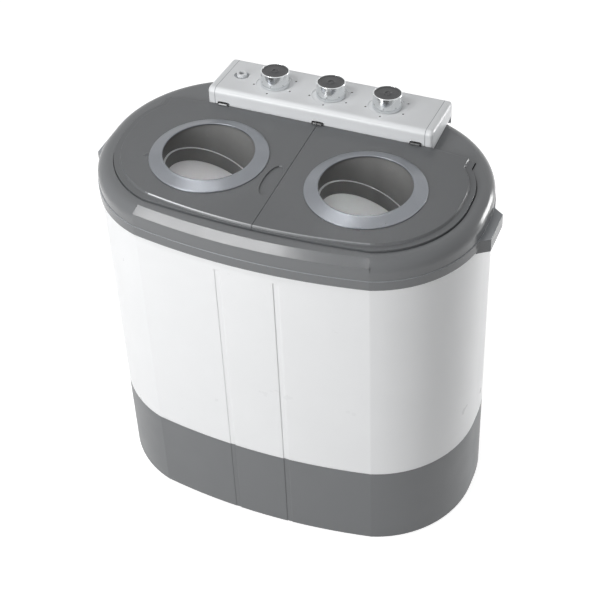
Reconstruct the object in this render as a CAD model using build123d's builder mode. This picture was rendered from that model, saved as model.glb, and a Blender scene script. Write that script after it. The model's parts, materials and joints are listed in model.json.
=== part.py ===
from build123d import *
import os
from math import acos, cos, radians, sin, sqrt, tan

# Compact top-loading twin-tub washing machine: a wash tub on the left, a spin tub on the right.
# Frame: millimetres, +Z up, +X to the right seen from the front, the front faces -Y.
# The origin is the middle of the base on the floor.

# ---------------------------------------------------------------- plan of the body
HALF_W = 274.5  # half width of the white body
FRONT_R = 153.0  # front quarter of each round end
FRONT_END_Y = -15.3
REAR_R = 172.0  # rear quarter
REAR_END_Y = 4.3
CORNER = radians(72.8)  # where the bowed front starts on the front quarter
FRONT_Y = -176.8  # middle of the bowed front
WALL = 3.0  # moulded outer walls
FIT = 0.2  # clearance between pieces that locate each other
RUN = 0.06  # radial clearance of a shaft in its bore
GAP = 0.3  # clearance between pieces that only pass each other

# ---------------------------------------------------------------- levels
FOOT_H = 5.0  # what the feet stand proud of the skirt
SKIRT_H = 140.0
BODY_H = 356.0
BAND_H = 14.5  # collar's lower, prouder band
SIDE_H = 20.8  # collar's upright side above the band
BEVEL_H = 7.7  # flat bevel along the front
FLOOR_RISE = 3.0  # base floor above the skirt's edge
FLOOR_T = 3.0
SKIRT_Z = FOOT_H
BODY_Z = SKIRT_Z + SKIRT_H
BAND_Z = BODY_Z + BODY_H
SIDE_Z = BAND_Z + BAND_H
BEVEL_Z = SIDE_Z + SIDE_H
RIM_Z = BEVEL_Z + BEVEL_H
FLOOR_Z = SKIRT_Z + FLOOR_RISE
FLOOR_TOP = FLOOR_Z + FLOOR_T
LIP_H = 10.0  # how far a locating lip reaches into the next piece
LIP_T = 3.0

# ---------------------------------------------------------------- front grooves
GROOVE_X = 42.0
GROOVE_W = 8.0
GROOVE_D = 1.6
GROOVE_TOP = 16.0  # below the collar

# ---------------------------------------------------------------- collar and deck
BAND_OUT = 2.5  # band proud of the body
SIDE_OUT = 1.5
BEVEL_IN = 11.5  # top of the bevel, in from the body's face
SHOULDER_R = 16.0  # rounding along the ends and the back
CORNER_R = 40.0  # softens the collar's two front corners
DECK_T = 3.0
RECESS_D = 8.0  # lid recess below the rim
DECK_TOP = RIM_Z - RECESS_D
DECK_Z = DECK_TOP - DECK_T
HANDLE_Y = -4.3
HANDLE_ROOT = 44.0  # half lengths of the side handles
HANDLE_TIP = 27.0
HANDLE_OUT = 12.0  # beyond the band
HANDLE_T = 3.0
HANDLE_DROP = 6.0  # below the band

# ---------------------------------------------------------------- lids
LID_IN = 22.5  # lid edge, in from the body's ends
LID_FRONT = -149.3  # middle of the lids' bowed front edge
LID_REAR_R = 97.0  # rear quarter of the lid's round end
LID_BACK = 87.0  # along the console
LID_EAR_Y = 81.0  # outer back corner
LID_EAR_IN = 20.5  # outer back corner, in from the lid's round end
SEAM = 0.3  # half the gap between the lids
LID_GAP = 1.0  # around each lid in its recess
FLANGE_W = 8.5  # the lid's low rim at its round end
FLANGE_FRONT_W = 2.0  # and along its front
FLANGE_H = 10.7
SLOPE_W = 1.5
LID_H = 14.2  # from the lid's underside to its top face
LID_T = 3.0
LID_Z = DECK_TOP + GAP
LID_TOP = LID_Z + LID_H
FINGER_Y = -51.0  # leaf-shaped finger recess beside the seam
FINGER_LEN = 66.0
FINGER_W = 24.0
FINGER_D = 2.0

# ---------------------------------------------------------------- windows
WINDOW_X = 114.0
WINDOW_Y = -28.8
RING_W = 19.7
RING_COVER = 1.2  # how far the ring stands in over the bowl's wall
RING_H = 8.0
RING_EDGE = 1.5
RING_LIP = 2.3
BOWL_WALL = 2.5
BOWL_R = 64.5  # inside radius above the step
BOWL_STEP = 2.5  # how far the step stands in
STEP_DEPTH = 43.0  # at the bowl's centre, below the lid's top
STEP_SLOPE_X = 0.45
STEP_SLOPE_Y = 0.15
BOWL_DEPTH = 66.0
BOWL_SLOPE_X = 0.50
BOWL_SLOPE_Y = 0.17
BOWL_FLANGE = 7.0
BOWL_FLANGE_T = 2.5
BOWL_CUT = 130.0  # raw length of the cylinders that the slanted floors trim
RING_IN_R = BOWL_R - RING_COVER
RING_R = RING_IN_R + RING_W

# ---------------------------------------------------------------- lid hinges
HINGE_Y = 86.0
HINGE_RISE = 2.0  # axis above the lid's top face
HINGE_X = 144.0
PIN_R = 0.9
KNUCKLE_R = 1.7
KNUCKLE_HALF = 6.3
EAR_T = 1.5
HINGE_Z = LID_TOP + HINGE_RISE

# ---------------------------------------------------------------- console
CONSOLE_HALF = 168.0
CONSOLE_FRONT = 88.0
CONSOLE_BACK = 179.4
CONSOLE_RISE = 31.0  # front edge above the rim
BEND_R = 8.0  # front bend of the panel
BACK_R = 3.0  # top edge of its back
CAP_R = 5.0  # outer edges of the end caps
CONSOLE_T = 2.5
CAP_W = 11.0  # length of each end cap
CAP_LIP = 6.0  # how far a cap plugs in, short of the inlet's dish
BACK_WALL = 7.0  # foot of the back, standing on the collar's step
PANEL_TILT = radians(5.3)
WELL_MARGIN = 8.0  # opening in the collar under the console

# ---------------------------------------------------------------- knobs and switches
KNOB_Y = 133.0
KNOBS = {"wash_timer": -82.0, "drain_selector": 3.0, "spin_timer": 87.0}
KNOB_R = 21.0
KNOB_TOP_R = 20.3
KNOB_H = 21.5
KNOB_CAP_R = 19.0
KNOB_CAP_T = 2.0
KNOB_DIMPLE_R = 3.5
KNOB_DIMPLE_D = 0.8
DIAL_R = 27.0
DIAL_D = 1.0
KNOB_LIFT = 0.6  # knob above the dial recess
SHAFT_R = 3.0
SHAFT_HOLE_R = 6.0
TIMER_W = 44.0
TIMER_H = 26.0
SHAFT_IN_TIMER = 16.0
SHAFT_IN_KNOB = 14.0

# ---------------------------------------------------------------- water inlet
INLET_X = -136.0
INLET_Y = 138.0
INLET_R = 7.0  # outside of the nozzle that a fill hose is pushed over
INLET_BORE_R = 4.0
INLET_DISH_R = 11.0  # round recess in the panel that the nozzle stands in
INLET_DISH_D = 5.0
INLET_RISE = 4.0  # nozzle above the panel
INLET_FLANGE_R = 12.0
INLET_LEN = 38.0
HOSE_WALL = 2.0
HOSE_LAP = 8.0  # hose pushed over the inlet's tube
INLET_BEND_R = 18.0
INLET_RUN_DROP = 34.0  # hose's level run below the deck

# ---------------------------------------------------------------- wash tub and drive
TUB_IN = 34.0
TUB_SEAM = 12.0  # tub wall beside the middle
TUB_BACK = 77.0
TUB_WALL = 2.5
TUB_R = 22.0
TUB_FLOOR = 175.0
TUB_FLANGE = 5.0
TUB_MARGIN = 4.0  # deck opening inside the tub's wall
WASH_IN = 146.5  # drive's axis, in from the body's side
WASH_Y = -38.0
PULSATOR_R = 82.0
PULSATOR_H = 9.0
PULSATOR_LIFT = 1.5
VANES = 6
VANE_H = 11.0
VANE_T = 7.0
VANE_IN = 16.0
DRIVE_R = 6.0  # pulsator shaft
DRIVE_BOTTOM = 112.0
HOUSING_R = 20.0
HOUSING_FLANGE_R = 34.0
HOUSING_FLANGE_T = 4.0
HOUSING_H = 34.0
SEAL_R = 13.0
SEAL_H = 7.0
PULLEY_R = 55.0
PULLEY_T = 12.0
PULLEY_Z = 120.0
PULLEY_WEB = 5.0
GROOVE_DEPTH = 5.0
BELT_H = 5.0
MOTOR_Y = 92.0
MOTOR_PULLEY_R = 20.0
MOTOR_R = 42.0
MOTOR_H = 78.0
MOTOR_SHAFT_R = 5.0
MOTOR_FOOT_T = 4.0
MOTOR_FOOT = 104.0
BOLT_R = 3.0
BOLT_HEAD_R = 5.5
BOLT_HEAD_H = 3.5
WASH_X = WASH_IN - HALF_W

# ---------------------------------------------------------------- spin tub and drive
SPIN_IN = 159.5  # axis, in from the body's side
SPIN_Y = -38.0
SPIN_TUB_R = 104.0
SPIN_FLOOR = 180.0
SPIN_OPEN_R = 98.0
SPIN_PORT_R = 32.0
BASKET_R = 92.0
BASKET_T = 2.0
BASKET_Z = 212.0
BASKET_H = 214.0
BASKET_LIP = 6.0
HOLE_ROWS = 6
HOLE_COUNT = 14
HOLE_R = 3.5
HUB_R = 22.0
HUB_H = 16.0
SPIN_SHAFT_R = 6.0
SPIN_MOTOR_R = 48.0
SPIN_MOTOR_H = 72.0
PLATE_Z = 58.0
PLATE_T = 3.0
PLATE_R = 74.0
SPRING_AT = 60.0
SPRING_R = 10.0
SPRING_WIRE = 1.8
SPRING_TURNS = 5
MOUNTS = 3
DRUM_R = 30.0
DRUM_H = 14.0
DRUM_Z = 146.0
BRAKE_GAP = 2.2
BRAKE_REACH = 55.0
BRAKE_W = 9.0
BRAKE_POST_R = 4.0
BRAKE_T = 8.0
CABLE_R = 2.0
CABLE_IN = 96.5  # cable's drop, in from the body's side
CABLE_Y = 95.0
CABLE_BEND = 18.0
BELLOWS_RIM = 38.0
BELLOWS_T = 4.0
SPIN_X = HALF_W - SPIN_IN
CABLE_X = HALF_W - CABLE_IN

# ---------------------------------------------------------------- drain
VALVE_X = 0.0
VALVE_Y = 128.0
VALVE_R = 22.0
VALVE_Z = 92.0
VALVE_H = 76.0
VALVE_WALL = 3.0
SEAT_Z = 120.0
SEAT_R = 12.0
PLUG_R = 15.0
PLUG_H = 8.0
ROD_R = 2.5
ROD_DROP = 18.0  # rod's top below the collar's rim
CAM_R = 17.0  # disc under the selector that works the rod
CAM_T = 3.0
HOSE_R = 10.0
PORT_Z = 145.0  # inlets of the valve
OUTLET_Z = 104.0
SPIGOT_R = 10.0
SPIGOT_ROOT_R = 12.0  # where it passes the skirt's wall
SPIGOT_BORE = 7.5
SPIGOT_FLANGE_R = 17.0
SPIGOT_OUT = 8.0
POCKET_W = 48.0  # recess in the back that the spigot stands in
POCKET_D = 9.0
TUB_PORT_X = -52.0
TUB_PORT_Y = 42.0
SPIN_PORT_Y = 40.0
HOSE_BEND = 22.0

# ---------------------------------------------------------------- back
COVER_HALF = 88.0
COVER_LOW = 190.0
COVER_HIGH = 430.0
COVER_PLATE = 1.6
COVER_LAP = 12.0
LOUVRES = 8
LOUVRE_W = 90.0
LOUVRE_H = 5.0
LOUVRE_STEP = 14.0
SCREW_R = 2.0
SCREW_HEAD_R = 4.0
SCREW_HEAD_H = 1.5
SCREW_LEN = 8.0
GLAND_X = -70.0
GLAND_Z = 70.0
GLAND_R = 10.0
GLAND_BORE = 4.0
GLAND_LEN = 16.0

# ---------------------------------------------------------------- feet, capacitor, wiring
FOOT_R = 14.0
FOOT_IN = 109.5  # in from the body's side
FOOT_Y = 105.0
FOOT_STEM_R = 4.0
CAPACITOR_R = 17.0
CAPACITOR_H = 62.0
CAPACITOR_AT = (6.0, -122.0)
HARNESS_R = 4.0
HARNESS_X = -40.0
HARNESS_Y = 152.0
HARNESS_DROP = 20.0  # below the collar's rim
HARNESS_BEND = 24.0
FILTER_W = 62.0
FILTER_H = 150.0
FILTER_T = 9.0
FILTER_Z = 300.0
FILTER_BARS = 7

FRONT_END_X = HALF_W - FRONT_R
REAR_END_X = HALF_W - REAR_R
BODY_BACK = REAR_END_Y + REAR_R
POCKET_Y = BODY_BACK - POCKET_D
SHELF_Z = RIM_Z + FIT
BACK_FOOT = DECK_Z + FIT
FOOT_X = HALF_W - FOOT_IN
os.makedirs("parts", exist_ok=True)


# ================================================================ shared shapes
def front_corner(inset):
    """Where the bowed front meets the round end, moved in from the body's face."""
    radius = FRONT_R - inset
    return (FRONT_END_X + radius * cos(CORNER), FRONT_END_Y - radius * sin(CORNER))


def front_middle(inset):
    """A point halfway round the front quarter of the end."""
    radius = FRONT_R - inset
    return (FRONT_END_X + radius * cos(CORNER / 2), FRONT_END_Y - radius * sin(CORNER / 2))


def mirrored(point, side):
    """The same point on the left or the right side."""
    return (side * point[0], point[1])


def body_plan(height, inset):
    """Outline of the whole body at a height, moved in from its outer face."""
    corner = front_corner(inset)
    wide = HALF_W - inset
    back = BODY_BACK - inset
    rear = (REAR_END_X + (REAR_R - inset) * sqrt(0.5), REAR_END_Y + (REAR_R - inset) * sqrt(0.5))
    with BuildSketch(Plane.XY.offset(height)) as sketch:
        with BuildLine():
            Line((-REAR_END_X, back), (REAR_END_X, back))
            ThreePointArc(corner, (0, FRONT_Y + inset), mirrored(corner, -1))
            for side in (-1, 1):
                ThreePointArc((side * REAR_END_X, back), mirrored(rear, side), (side * wide, REAR_END_Y))
                Line((side * wide, REAR_END_Y), (side * wide, FRONT_END_Y))
                ThreePointArc(
                    (side * wide, FRONT_END_Y),
                    mirrored(front_middle(inset), side),
                    mirrored(corner, side),
                )
        make_face()
    return sketch.sketch


def half_plan(height, side, inset, front, inner, rear_r, turn_x, back_points):
    """One side of the plan, from an inner x out to an end that follows the body's.

    The rear quarter has its own radius and stops at turn_x; back_points lead from
    there to the inner edge.
    """
    corner = front_corner(inset)
    wide = HALF_W - inset
    bow = corner[1] - front
    bow_r = (corner[0] ** 2 + bow**2) / (2 * bow)

    def bow_y(x):
        return front + bow_r - sqrt(bow_r**2 - x**2)

    start = (inner, bow_y(inner))
    middle = ((inner + corner[0]) / 2, bow_y((inner + corner[0]) / 2))
    centre_x = wide - rear_r
    sweep_angle = acos((turn_x - centre_x) / rear_r)
    half_turn = (
        centre_x + rear_r * cos(sweep_angle / 2),
        REAR_END_Y + rear_r * sin(sweep_angle / 2),
    )
    turn = (turn_x, REAR_END_Y + rear_r * sin(sweep_angle))
    points = [mirrored(point, side) for point in (turn, *back_points, start)]
    with BuildSketch(Plane.XY.offset(height)) as sketch:
        with BuildLine():
            ThreePointArc(points[-1], mirrored(middle, side), mirrored(corner, side))
            ThreePointArc(
                mirrored(corner, side),
                mirrored(front_middle(inset), side),
                (side * wide, FRONT_END_Y),
            )
            Line((side * wide, FRONT_END_Y), (side * wide, REAR_END_Y))
            ThreePointArc((side * wide, REAR_END_Y), mirrored(half_turn, side), points[0])
            Polyline(*points)
        make_face()
    return sketch.sketch


def lid_plan(height, side, end_in, front_in, seam=SEAM, back=LID_BACK):
    """Outline of a lid, its round end and its front moved in from the lid's edge."""
    turn_x = HALF_W - LID_IN - LID_EAR_IN - end_in
    ear_y = LID_EAR_Y - LID_BACK + back
    back_points = [(turn_x, ear_y), (CONSOLE_HALF, back), (seam, back)]
    front = LID_FRONT + front_in
    rear_r = LID_REAR_R - end_in
    return half_plan(height, side, LID_IN + end_in, front, seam, rear_r, turn_x, back_points)


def tub_plan(height, inset):
    """Outline of the wash tub, moved in from its outer wall."""
    depth = TUB_IN + inset
    back = TUB_BACK - inset
    inner = TUB_SEAM + inset
    rear_r = REAR_R - depth
    turn_x = REAR_END_X + sqrt(rear_r**2 - (back - REAR_END_Y) ** 2)
    with BuildSketch(Plane.XY.offset(height)) as sketch:
        outline = half_plan(height, -1, depth, FRONT_Y + depth, inner, rear_r, turn_x, [(inner, back)])
        add(outline)
        fillet(sketch.vertices().group_by(Axis.X)[-1], TUB_R - inset)
    return sketch.sketch


def panel_z(y):
    """Height of the console's sloping top at a depth y."""
    return RIM_Z + CONSOLE_RISE - (y - CONSOLE_FRONT) * tan(PANEL_TILT)


def console_outline(x):
    """Side outline of the console, its back reaching down behind the collar."""
    with BuildSketch(Plane.YZ.offset(x)) as sketch:
        with BuildLine():
            Polyline(
                (CONSOLE_FRONT, SHELF_Z),
                (CONSOLE_FRONT, panel_z(CONSOLE_FRONT)),
                (CONSOLE_BACK, panel_z(CONSOLE_BACK)),
                (CONSOLE_BACK, BACK_FOOT),
                (CONSOLE_BACK - BACK_WALL, BACK_FOOT),
                (CONSOLE_BACK - BACK_WALL, SHELF_Z),
                close=True,
            )
        make_face()
        fillet(sketch.vertices().sort_by(Axis.Y)[-1], BEND_R)
        fillet(sketch.vertices().group_by(Axis.X)[-1].sort_by(Axis.Y)[-1], BACK_R)
    return sketch.sketch


def console_core(x, inset, low):
    """Side outline of the console's inside, moved in from its outer faces."""
    front = CONSOLE_FRONT + inset
    back = CONSOLE_BACK - inset
    with BuildSketch(Plane.YZ.offset(x)) as sketch:
        with BuildLine():
            Polyline(
                (front, low),
                (front, panel_z(front) - inset),
                (back, panel_z(back) - inset),
                (back, low),
                close=True,
            )
        make_face()
        fillet(sketch.vertices().sort_by(Axis.Y)[-1], BEND_R - inset)
    return sketch.sketch


def panel_plane(x, y):
    """Plane on the console's sloping top, its normal straight out of it."""
    normal = (0, sin(PANEL_TILT), cos(PANEL_TILT))
    return Plane(origin=(x, y, panel_z(y)), x_dir=(1, 0, 0), z_dir=normal)


def dial_plane(x):
    """Plane on the console's top at a knob, its normal along the knob's axis."""
    return panel_plane(x, KNOB_Y)


def dial_section(x):
    """Plane through a knob's axis, its y along the axis."""
    return Plane(dial_plane(x).origin, x_dir=(1, 0, 0), z_dir=(0, -cos(PANEL_TILT), sin(PANEL_TILT)))


def finish(piece, name):
    """Label a finished sub-part and write its file."""
    piece.part.label = name
    export_step(piece.part, f"parts/{name}.step")


# ================================================================ base
with BuildPart() as base_skirt:
    extrude(body_plan(SKIRT_Z, 0), amount=SKIRT_H)
    extrude(body_plan(FLOOR_TOP, WALL), amount=BODY_Z - FLOOR_TOP, mode=Mode.SUBTRACT)
    extrude(body_plan(SKIRT_Z, WALL), amount=FLOOR_RISE, mode=Mode.SUBTRACT)
    # lip that centres the body shell
    extrude(body_plan(BODY_Z - LIP_H, WALL), amount=LIP_H)
    extrude(body_plan(BODY_Z, WALL + FIT), amount=LIP_H)
    extrude(body_plan(BODY_Z - LIP_H, WALL + LIP_T), amount=2 * LIP_H, mode=Mode.SUBTRACT)
    with BuildSketch(Plane.XY.offset(SKIRT_Z)):
        with Locations((-GROOVE_X, FRONT_Y), (GROOVE_X, FRONT_Y)):
            Rectangle(GROOVE_W, 2 * GROOVE_D)
    extrude(amount=SKIRT_H, mode=Mode.SUBTRACT)
    with BuildSketch(Plane.XY.offset(FLOOR_Z)):
        with GridLocations(2 * FOOT_X, 2 * FOOT_Y, 2, 2):
            Circle(FOOT_STEM_R + FIT)
    extrude(amount=FLOOR_T, mode=Mode.SUBTRACT)
    # pocket in the back that the drain spigot stands in
    with BuildSketch(Plane.XZ.offset(-BODY_BACK + WALL)):
        with Locations((VALVE_X, OUTLET_Z)):
            Rectangle(POCKET_W + 2 * WALL, POCKET_W + 2 * WALL)
    extrude(amount=POCKET_D)
    with BuildSketch(Plane.XZ.offset(-BODY_BACK)):
        with Locations((VALVE_X, OUTLET_Z)):
            Rectangle(POCKET_W, POCKET_W)
    extrude(amount=POCKET_D, mode=Mode.SUBTRACT)
    with BuildSketch(Plane.XZ.offset(-BODY_BACK)):
        with Locations((VALVE_X, OUTLET_Z)):
            Circle(SPIGOT_ROOT_R + FIT)
        with Locations((GLAND_X, GLAND_Z)):
            Circle(GLAND_R + FIT)
    extrude(amount=POCKET_D + WALL, mode=Mode.SUBTRACT)
finish(base_skirt, "base_skirt")

with BuildPart() as feet:
    with BuildSketch(Plane.XY):
        with GridLocations(2 * FOOT_X, 2 * FOOT_Y, 2, 2):
            Circle(FOOT_R)
    extrude(amount=FLOOR_Z)
    with BuildSketch(Plane.XY.offset(FLOOR_Z)):
        with GridLocations(2 * FOOT_X, 2 * FOOT_Y, 2, 2):
            Circle(FOOT_STEM_R)
    extrude(amount=FLOOR_T - FIT)
    fillet(feet.edges().group_by(Axis.Z)[0], FOOT_H / 2)
finish(feet, "feet")

# ================================================================ body shell and back
SHELL_TOP = BAND_Z + LIP_H
COVER_FACE = BODY_BACK + COVER_PLATE
COVER_MID = (COVER_LOW + COVER_HIGH) / 2
COVER_SCREWS = [
    (side * (COVER_HALF - COVER_LAP / 2), z)
    for side in (-1, 1)
    for z in (COVER_LOW + COVER_LAP, COVER_MID, COVER_HIGH - COVER_LAP)
]
with BuildPart() as body_shell:
    extrude(body_plan(BODY_Z, 0), amount=SHELL_TOP - BODY_Z)
    extrude(body_plan(BODY_Z, WALL), amount=SHELL_TOP - BODY_Z, mode=Mode.SUBTRACT)
    with BuildSketch(Plane.XY.offset(BODY_Z)):
        with Locations((-GROOVE_X, FRONT_Y), (GROOVE_X, FRONT_Y)):
            Rectangle(GROOVE_W, 2 * GROOVE_D)
    extrude(amount=BODY_H - GROOVE_TOP, mode=Mode.SUBTRACT)
    # service opening behind the drives
    with BuildSketch(Plane.XZ.offset(-BODY_BACK)):
        with Locations((0, COVER_MID)):
            RectangleRounded(
                2 * (COVER_HALF - COVER_LAP), COVER_HIGH - COVER_LOW - 2 * COVER_LAP, COVER_LAP
            )
        with Locations(*COVER_SCREWS):
            Circle(SCREW_R + FIT)
    extrude(amount=WALL, mode=Mode.SUBTRACT)
finish(body_shell, "body_shell")

with BuildPart() as rear_cover:
    with BuildSketch(Plane.XZ.offset(-COVER_FACE)):
        with Locations((0, COVER_MID)):
            RectangleRounded(2 * COVER_HALF, COVER_HIGH - COVER_LOW, COVER_LAP)
    extrude(amount=COVER_PLATE)
    with BuildSketch(Plane.XZ.offset(-COVER_FACE)):
        with Locations((0, COVER_MID)):
            with GridLocations(0, LOUVRE_STEP, 1, LOUVRES):
                SlotOverall(LOUVRE_W, LOUVRE_H)
        with Locations(*COVER_SCREWS):
            Circle(SCREW_R + FIT)
    extrude(amount=COVER_PLATE, mode=Mode.SUBTRACT)
finish(rear_cover, "rear_cover")

with BuildPart() as cover_screws:
    with BuildSketch(Plane.XZ.offset(-COVER_FACE - SCREW_HEAD_H)):
        with Locations(*COVER_SCREWS):
            Circle(SCREW_HEAD_R)
    extrude(amount=SCREW_HEAD_H)
    with BuildSketch(Plane.XZ.offset(-COVER_FACE)):
        with Locations(*COVER_SCREWS):
            Circle(SCREW_R)
    extrude(amount=SCREW_LEN)
    with BuildSketch(Plane.XZ.offset(-COVER_FACE - SCREW_HEAD_H)):
        with Locations(*COVER_SCREWS):
            Rectangle(SCREW_HEAD_R, SCREW_HEAD_H / 3)
            Rectangle(SCREW_HEAD_H / 3, SCREW_HEAD_R)
    extrude(amount=SCREW_HEAD_H / 2, mode=Mode.SUBTRACT)
finish(cover_screws, "cover_screws")

# ================================================================ collar
HINGES = (-HINGE_X, 0, HINGE_X)
HANDLE_X = HALF_W + BAND_OUT
with BuildPart() as top_collar:
    extrude(body_plan(SIDE_Z, -SIDE_OUT), amount=RIM_Z - SIDE_Z)
    fillet(top_collar.edges().filter_by(Axis.Z).group_by(Axis.Y)[0], CORNER_R)
    # the bowed front, between lines through its corners, has a flat bevel and no rounding
    outer_corner = front_corner(-2 * SIDE_OUT)
    with BuildSketch(Plane.XY.offset(SIDE_Z)):
        with BuildLine():
            Polyline(
                (FRONT_END_X, FRONT_END_Y),
                outer_corner,
                (outer_corner[0], FRONT_Y - BEVEL_IN),
                (-outer_corner[0], FRONT_Y - BEVEL_IN),
                (-outer_corner[0], outer_corner[1]),
                (-FRONT_END_X, FRONT_END_Y),
                close=True,
            )
        make_face()
    sector = extrude(amount=RIM_Z - SIDE_Z, mode=Mode.PRIVATE)
    upright = extrude(
        body_plan(SIDE_Z, -2 * SIDE_OUT), amount=BEVEL_Z - SIDE_Z, mode=Mode.PRIVATE
    )
    frustum = loft(
        [body_plan(BEVEL_Z, -SIDE_OUT), body_plan(RIM_Z, BEVEL_IN)], ruled=True, mode=Mode.PRIVATE
    )
    front = (top_collar.part & sector) - (sector - upright - frustum)
    fillet(top_collar.edges().group_by(Axis.Z)[-1], SHOULDER_R)
    add(sector, mode=Mode.SUBTRACT)
    add(front)
    extrude(body_plan(BAND_Z, -BAND_OUT), amount=BAND_H)
    # side handles, hollow underneath
    for side in (-1, 1):
        with BuildSketch(Plane.XY.offset(BAND_Z - HANDLE_DROP)):
            with BuildLine():
                Polyline(
                    (side * (HANDLE_X - HANDLE_OUT), HANDLE_Y - HANDLE_ROOT),
                    (side * (HANDLE_X + HANDLE_OUT), HANDLE_Y - HANDLE_TIP),
                    (side * (HANDLE_X + HANDLE_OUT), HANDLE_Y + HANDLE_TIP),
                    (side * (HANDLE_X - HANDLE_OUT), HANDLE_Y + HANDLE_ROOT),
                    close=True,
                )
            make_face()
        extrude(amount=HANDLE_DROP + BAND_H)
        with BuildSketch(Plane.XY.offset(BAND_Z - HANDLE_DROP)):
            with Locations((side * (HANDLE_X + (HANDLE_OUT - HANDLE_T) / 2), HANDLE_Y)):
                Rectangle(HANDLE_OUT - HANDLE_T, 2 * (HANDLE_TIP - HANDLE_T))
        extrude(amount=HANDLE_DROP + BAND_H - HANDLE_T, mode=Mode.SUBTRACT)
    # inside: over the shell's edge, then open up to the deck
    shell_edge = body_plan(BAND_Z - HANDLE_DROP, -FIT)
    extrude(shell_edge, amount=HANDLE_DROP + LIP_H, mode=Mode.SUBTRACT)
    extrude(body_plan(BAND_Z + LIP_H, WALL), amount=DECK_Z - BAND_Z - LIP_H, mode=Mode.SUBTRACT)
    # lid recesses
    for side in (-1, 1):
        recess = lid_plan(DECK_TOP, side, -LID_GAP, -LID_GAP, 0, LID_BACK + LID_GAP)
        extrude(recess, amount=RECESS_D, mode=Mode.SUBTRACT)
    # openings into the tubs
    extrude(tub_plan(DECK_Z, TUB_WALL + TUB_MARGIN), amount=DECK_T, mode=Mode.SUBTRACT)
    with BuildSketch(Plane.XY.offset(DECK_Z)):
        with Locations((SPIN_X, SPIN_Y)):
            Circle(SPIN_OPEN_R)
    extrude(amount=DECK_T, mode=Mode.SUBTRACT)
    # well under the console, and the step that its back wall stands on
    with BuildSketch(Plane.XY.offset(DECK_Z)):
        with Locations((0, (CONSOLE_FRONT + BODY_BACK) / 2)):
            RectangleRounded(
                2 * (CONSOLE_HALF - WELL_MARGIN),
                BODY_BACK - CONSOLE_FRONT - 2 * WELL_MARGIN,
                WELL_MARGIN,
            )
        with Locations((0, CONSOLE_BACK - GAP)):
            Rectangle(2 * (CONSOLE_HALF + GAP), 2 * BACK_WALL)
    extrude(amount=RIM_Z - DECK_Z, mode=Mode.SUBTRACT)
finish(top_collar, "top_collar")

with BuildPart() as lid_hinge_pins:
    for centre in HINGES:
        with BuildSketch(Plane.YZ.offset(centre - KNUCKLE_HALF - GAP - EAR_T)):
            with Locations((HINGE_Y, HINGE_Z)):
                Circle(PIN_R)
        extrude(amount=2 * (KNUCKLE_HALF + GAP + EAR_T))
finish(lid_hinge_pins, "lid_hinge_pins")


# ================================================================ lids and windows
def slanted_plug(side, radius, depth, slope_x, slope_y):
    """Cylinder from the bowl's rim down to a floor that leans to one side."""
    centre = (side * WINDOW_X, WINDOW_Y, LID_TOP - depth)
    with BuildPart() as plug:
        with BuildSketch(Plane.XY.offset(BOWL_RIM)):
            with Locations((side * WINDOW_X, WINDOW_Y)):
                Circle(radius)
        extrude(amount=-BOWL_CUT)
        split(bisect_by=Plane(origin=centre, z_dir=(slope_x, slope_y, 1)), keep=Keep.TOP)
    return plug.part


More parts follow.
